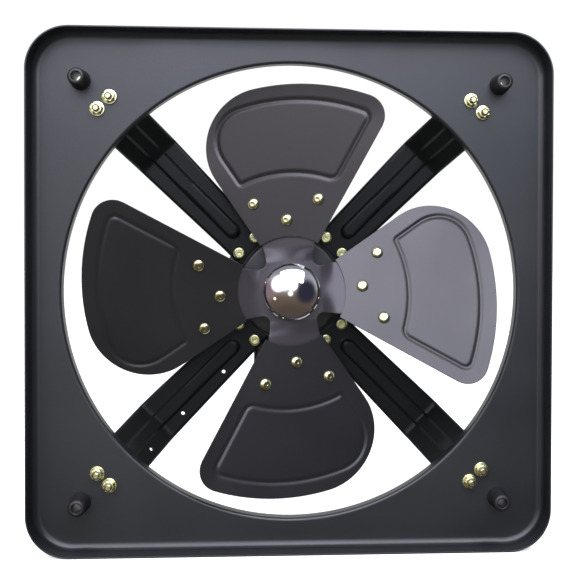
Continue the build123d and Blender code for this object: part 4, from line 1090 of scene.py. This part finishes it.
# finishes on the CAD nodes that stay
finishOfSlot = {
    "black_paint": armEnamel, "yellow_zinc": yellowZinc, "polished_chrome": brightChrome,
    "black_rubber": blackRubber, "machined_steel": groundSteel, "lamination_steel": lampSteel,
    "cast_aluminium": dieCast, "copper_winding": windingWire, "black_plastic": blackNylon,
    "retainer_plastic": naturalNylon, "white_plastic": whiteNylon, "brass": turnedBrass}
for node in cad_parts.values():
    for materialSlot in node.material_slots:
        materialSlot.material = finishOfSlot[materialSlot.material.name.split(".")[0]]

# floor and light
studio = {"floorHalf": 6.0, "floorZ": -0.1852, "floorColour": "#f4f3f1", "glow": 0.5, "softboxPower": 48.0}
half = studio["floorHalf"]
floorMesh = bpy.data.meshes.new("floor")
floorMesh.from_pydata([(-half, -half, studio["floorZ"]), (half, -half, studio["floorZ"]),
                       (half, half, studio["floorZ"]), (-half, half, studio["floorZ"])], [], [(0, 1, 2, 3)])
floor = bpy.data.objects.new("floor", floorMesh)
bpy.context.scene.collection.objects.link(floor)
floorFinish, floorTree, floorPlace = newFinish("paleFloor")
floorGloss = between(floorTree, addNode(floorTree, "ShaderNodeTexNoise", {
    "Vector": floorPlace, "Scale": 3.0, "Detail": 1.0}).outputs["Fac"], 0.85, 0.95)
closeFinish(floorTree, linearColour(studio["floorColour"]), floorGloss, {
    "Specular IOR Level": 0.1, "Emission Color": linearColour(studio["floorColour"]),
    "Emission Strength": studio["glow"]})
floorMesh.materials.append(floorFinish)
floor.visible_glossy = False


def aimVector(side, up):
    # direction seen from the fan, in degrees to the right of the viewer and above level
    a, e = math.radians(side), math.radians(up)
    return math.sin(a) * math.cos(e), -math.cos(a) * math.cos(e), math.sin(e)


def addPatch(tree, direction, under, aim, spread, soft, colour):
    # a soft round patch of light or dark in the room, as wide as its spread in degrees
    facing = addNode(tree, "ShaderNodeVectorMath", {
        "operation": "DOT_PRODUCT", 0: direction, 1: aimVector(*aim)})
    mask = addNode(tree, "ShaderNodeMapRange", {
        "interpolation_type": "SMOOTHSTEP", "Value": facing.outputs["Value"],
        "From Min": math.cos(math.radians(spread + soft)),
        "From Max": math.cos(math.radians(max(0.0, spread - soft)))})
    return addNode(tree, "ShaderNodeMix", {
        "data_type": "RGBA", 0: mask, 6: under, 7: (*colour, 1.0)}).outputs[2]


# the room: warm floor, mauve wall at the left, dark doorway at the right, white wall behind the fan
world = bpy.data.worlds.new("studio")
bpy.context.scene.world = world
world.use_nodes = True
room = world.node_tree
room.nodes.clear()
direction = addNode(room, "ShaderNodeTexCoord", {}).outputs["Generated"]
parts = addNode(room, "ShaderNodeSeparateXYZ", {"Vector": direction})
height = between(room, parts.outputs["Z"], 0.0, 1.0, -1.0, 1.0)
ramp = addNode(room, "ShaderNodeValToRGB", {"Fac": height})
stops = ramp.color_ramp.elements
stops[0].position, stops[0].color = 0.10, (0.10, 0.075, 0.06, 1.0)
stops[1].position, stops[1].color = 0.90, (0.30, 0.30, 0.34, 1.0)
for position, colour in ((0.36, (0.17, 0.13, 0.10, 1.0)), (0.46, (0.27, 0.25, 0.225, 1.0)),
                         (0.54, (0.62, 0.62, 0.62, 1.0)), (0.64, (0.58, 0.58, 0.62, 1.0))):
    stops.new(position).color = colour
light = ramp.outputs[0]
for aim, spread, soft, colour in (
        ((-75, 2), 20, 12, (0.28, 0.20, 0.22)), ((-43, 23), 20, 9, (2.9, 2.6, 2.85)),
        ((-22, 15), 9, 8, (1.6, 1.6, 1.75)), ((46, 0), 32, 12, (0.03, 0.03, 0.05)),
        ((1, 19), 13, 6, (5.2, 5.4, 6.6)), ((-4, -6), 7, 3, (1.5, 1.5, 1.45)),
        ((-55, -20), 3, 1.5, (4.0, 3.2, 2.2))):
    light = addPatch(room, direction, light, aim, spread, soft, colour)
behind = addNode(room, "ShaderNodeMapRange", {
    "interpolation_type": "SMOOTHSTEP", "Value": parts.outputs["Y"], "From Min": 0.0, "From Max": 0.25})
wall = addNode(room, "ShaderNodeMix", {
    "data_type": "RGBA", 0: behind, 6: light, 7: (1.05, 1.05, 1.05, 1.0)})
# seen directly, the room is plain pale all round
seen = addNode(room, "ShaderNodeLightPath", {})
plain = addNode(room, "ShaderNodeMix", {
    "data_type": "RGBA", 0: seen.outputs["Is Camera Ray"], 6: wall.outputs[2], 7: (1.05, 1.05, 1.05, 1.0)})
background = addNode(room, "ShaderNodeBackground", {"Color": plain.outputs[2], "Strength": 1.0})
addNode(room, "ShaderNodeOutputWorld", {"Surface": background})


def addSoftbox(name, aim, distance, size, power, colour):
    light = bpy.data.lights.new(name, "AREA")
    light.shape = "RECTANGLE"
    light.size, light.size_y = size
    light.energy = power
    light.color = colour
    lamp = bpy.data.objects.new(name, light)
    lamp.location = Vector(aimVector(*aim)) * distance
    lamp.rotation_euler = (-lamp.location).to_track_quat("-Z", "Y").to_euler()
    lamp.visible_camera = False
    bpy.context.scene.collection.objects.link(lamp)


addSoftbox("overheadSoftbox", (3, 49), 1.5, (1.9, 1.15), studio["softboxPower"], (0.86, 0.84, 1.0))
bpy.context.scene.view_settings.view_transform = "Standard"
print("studio made")
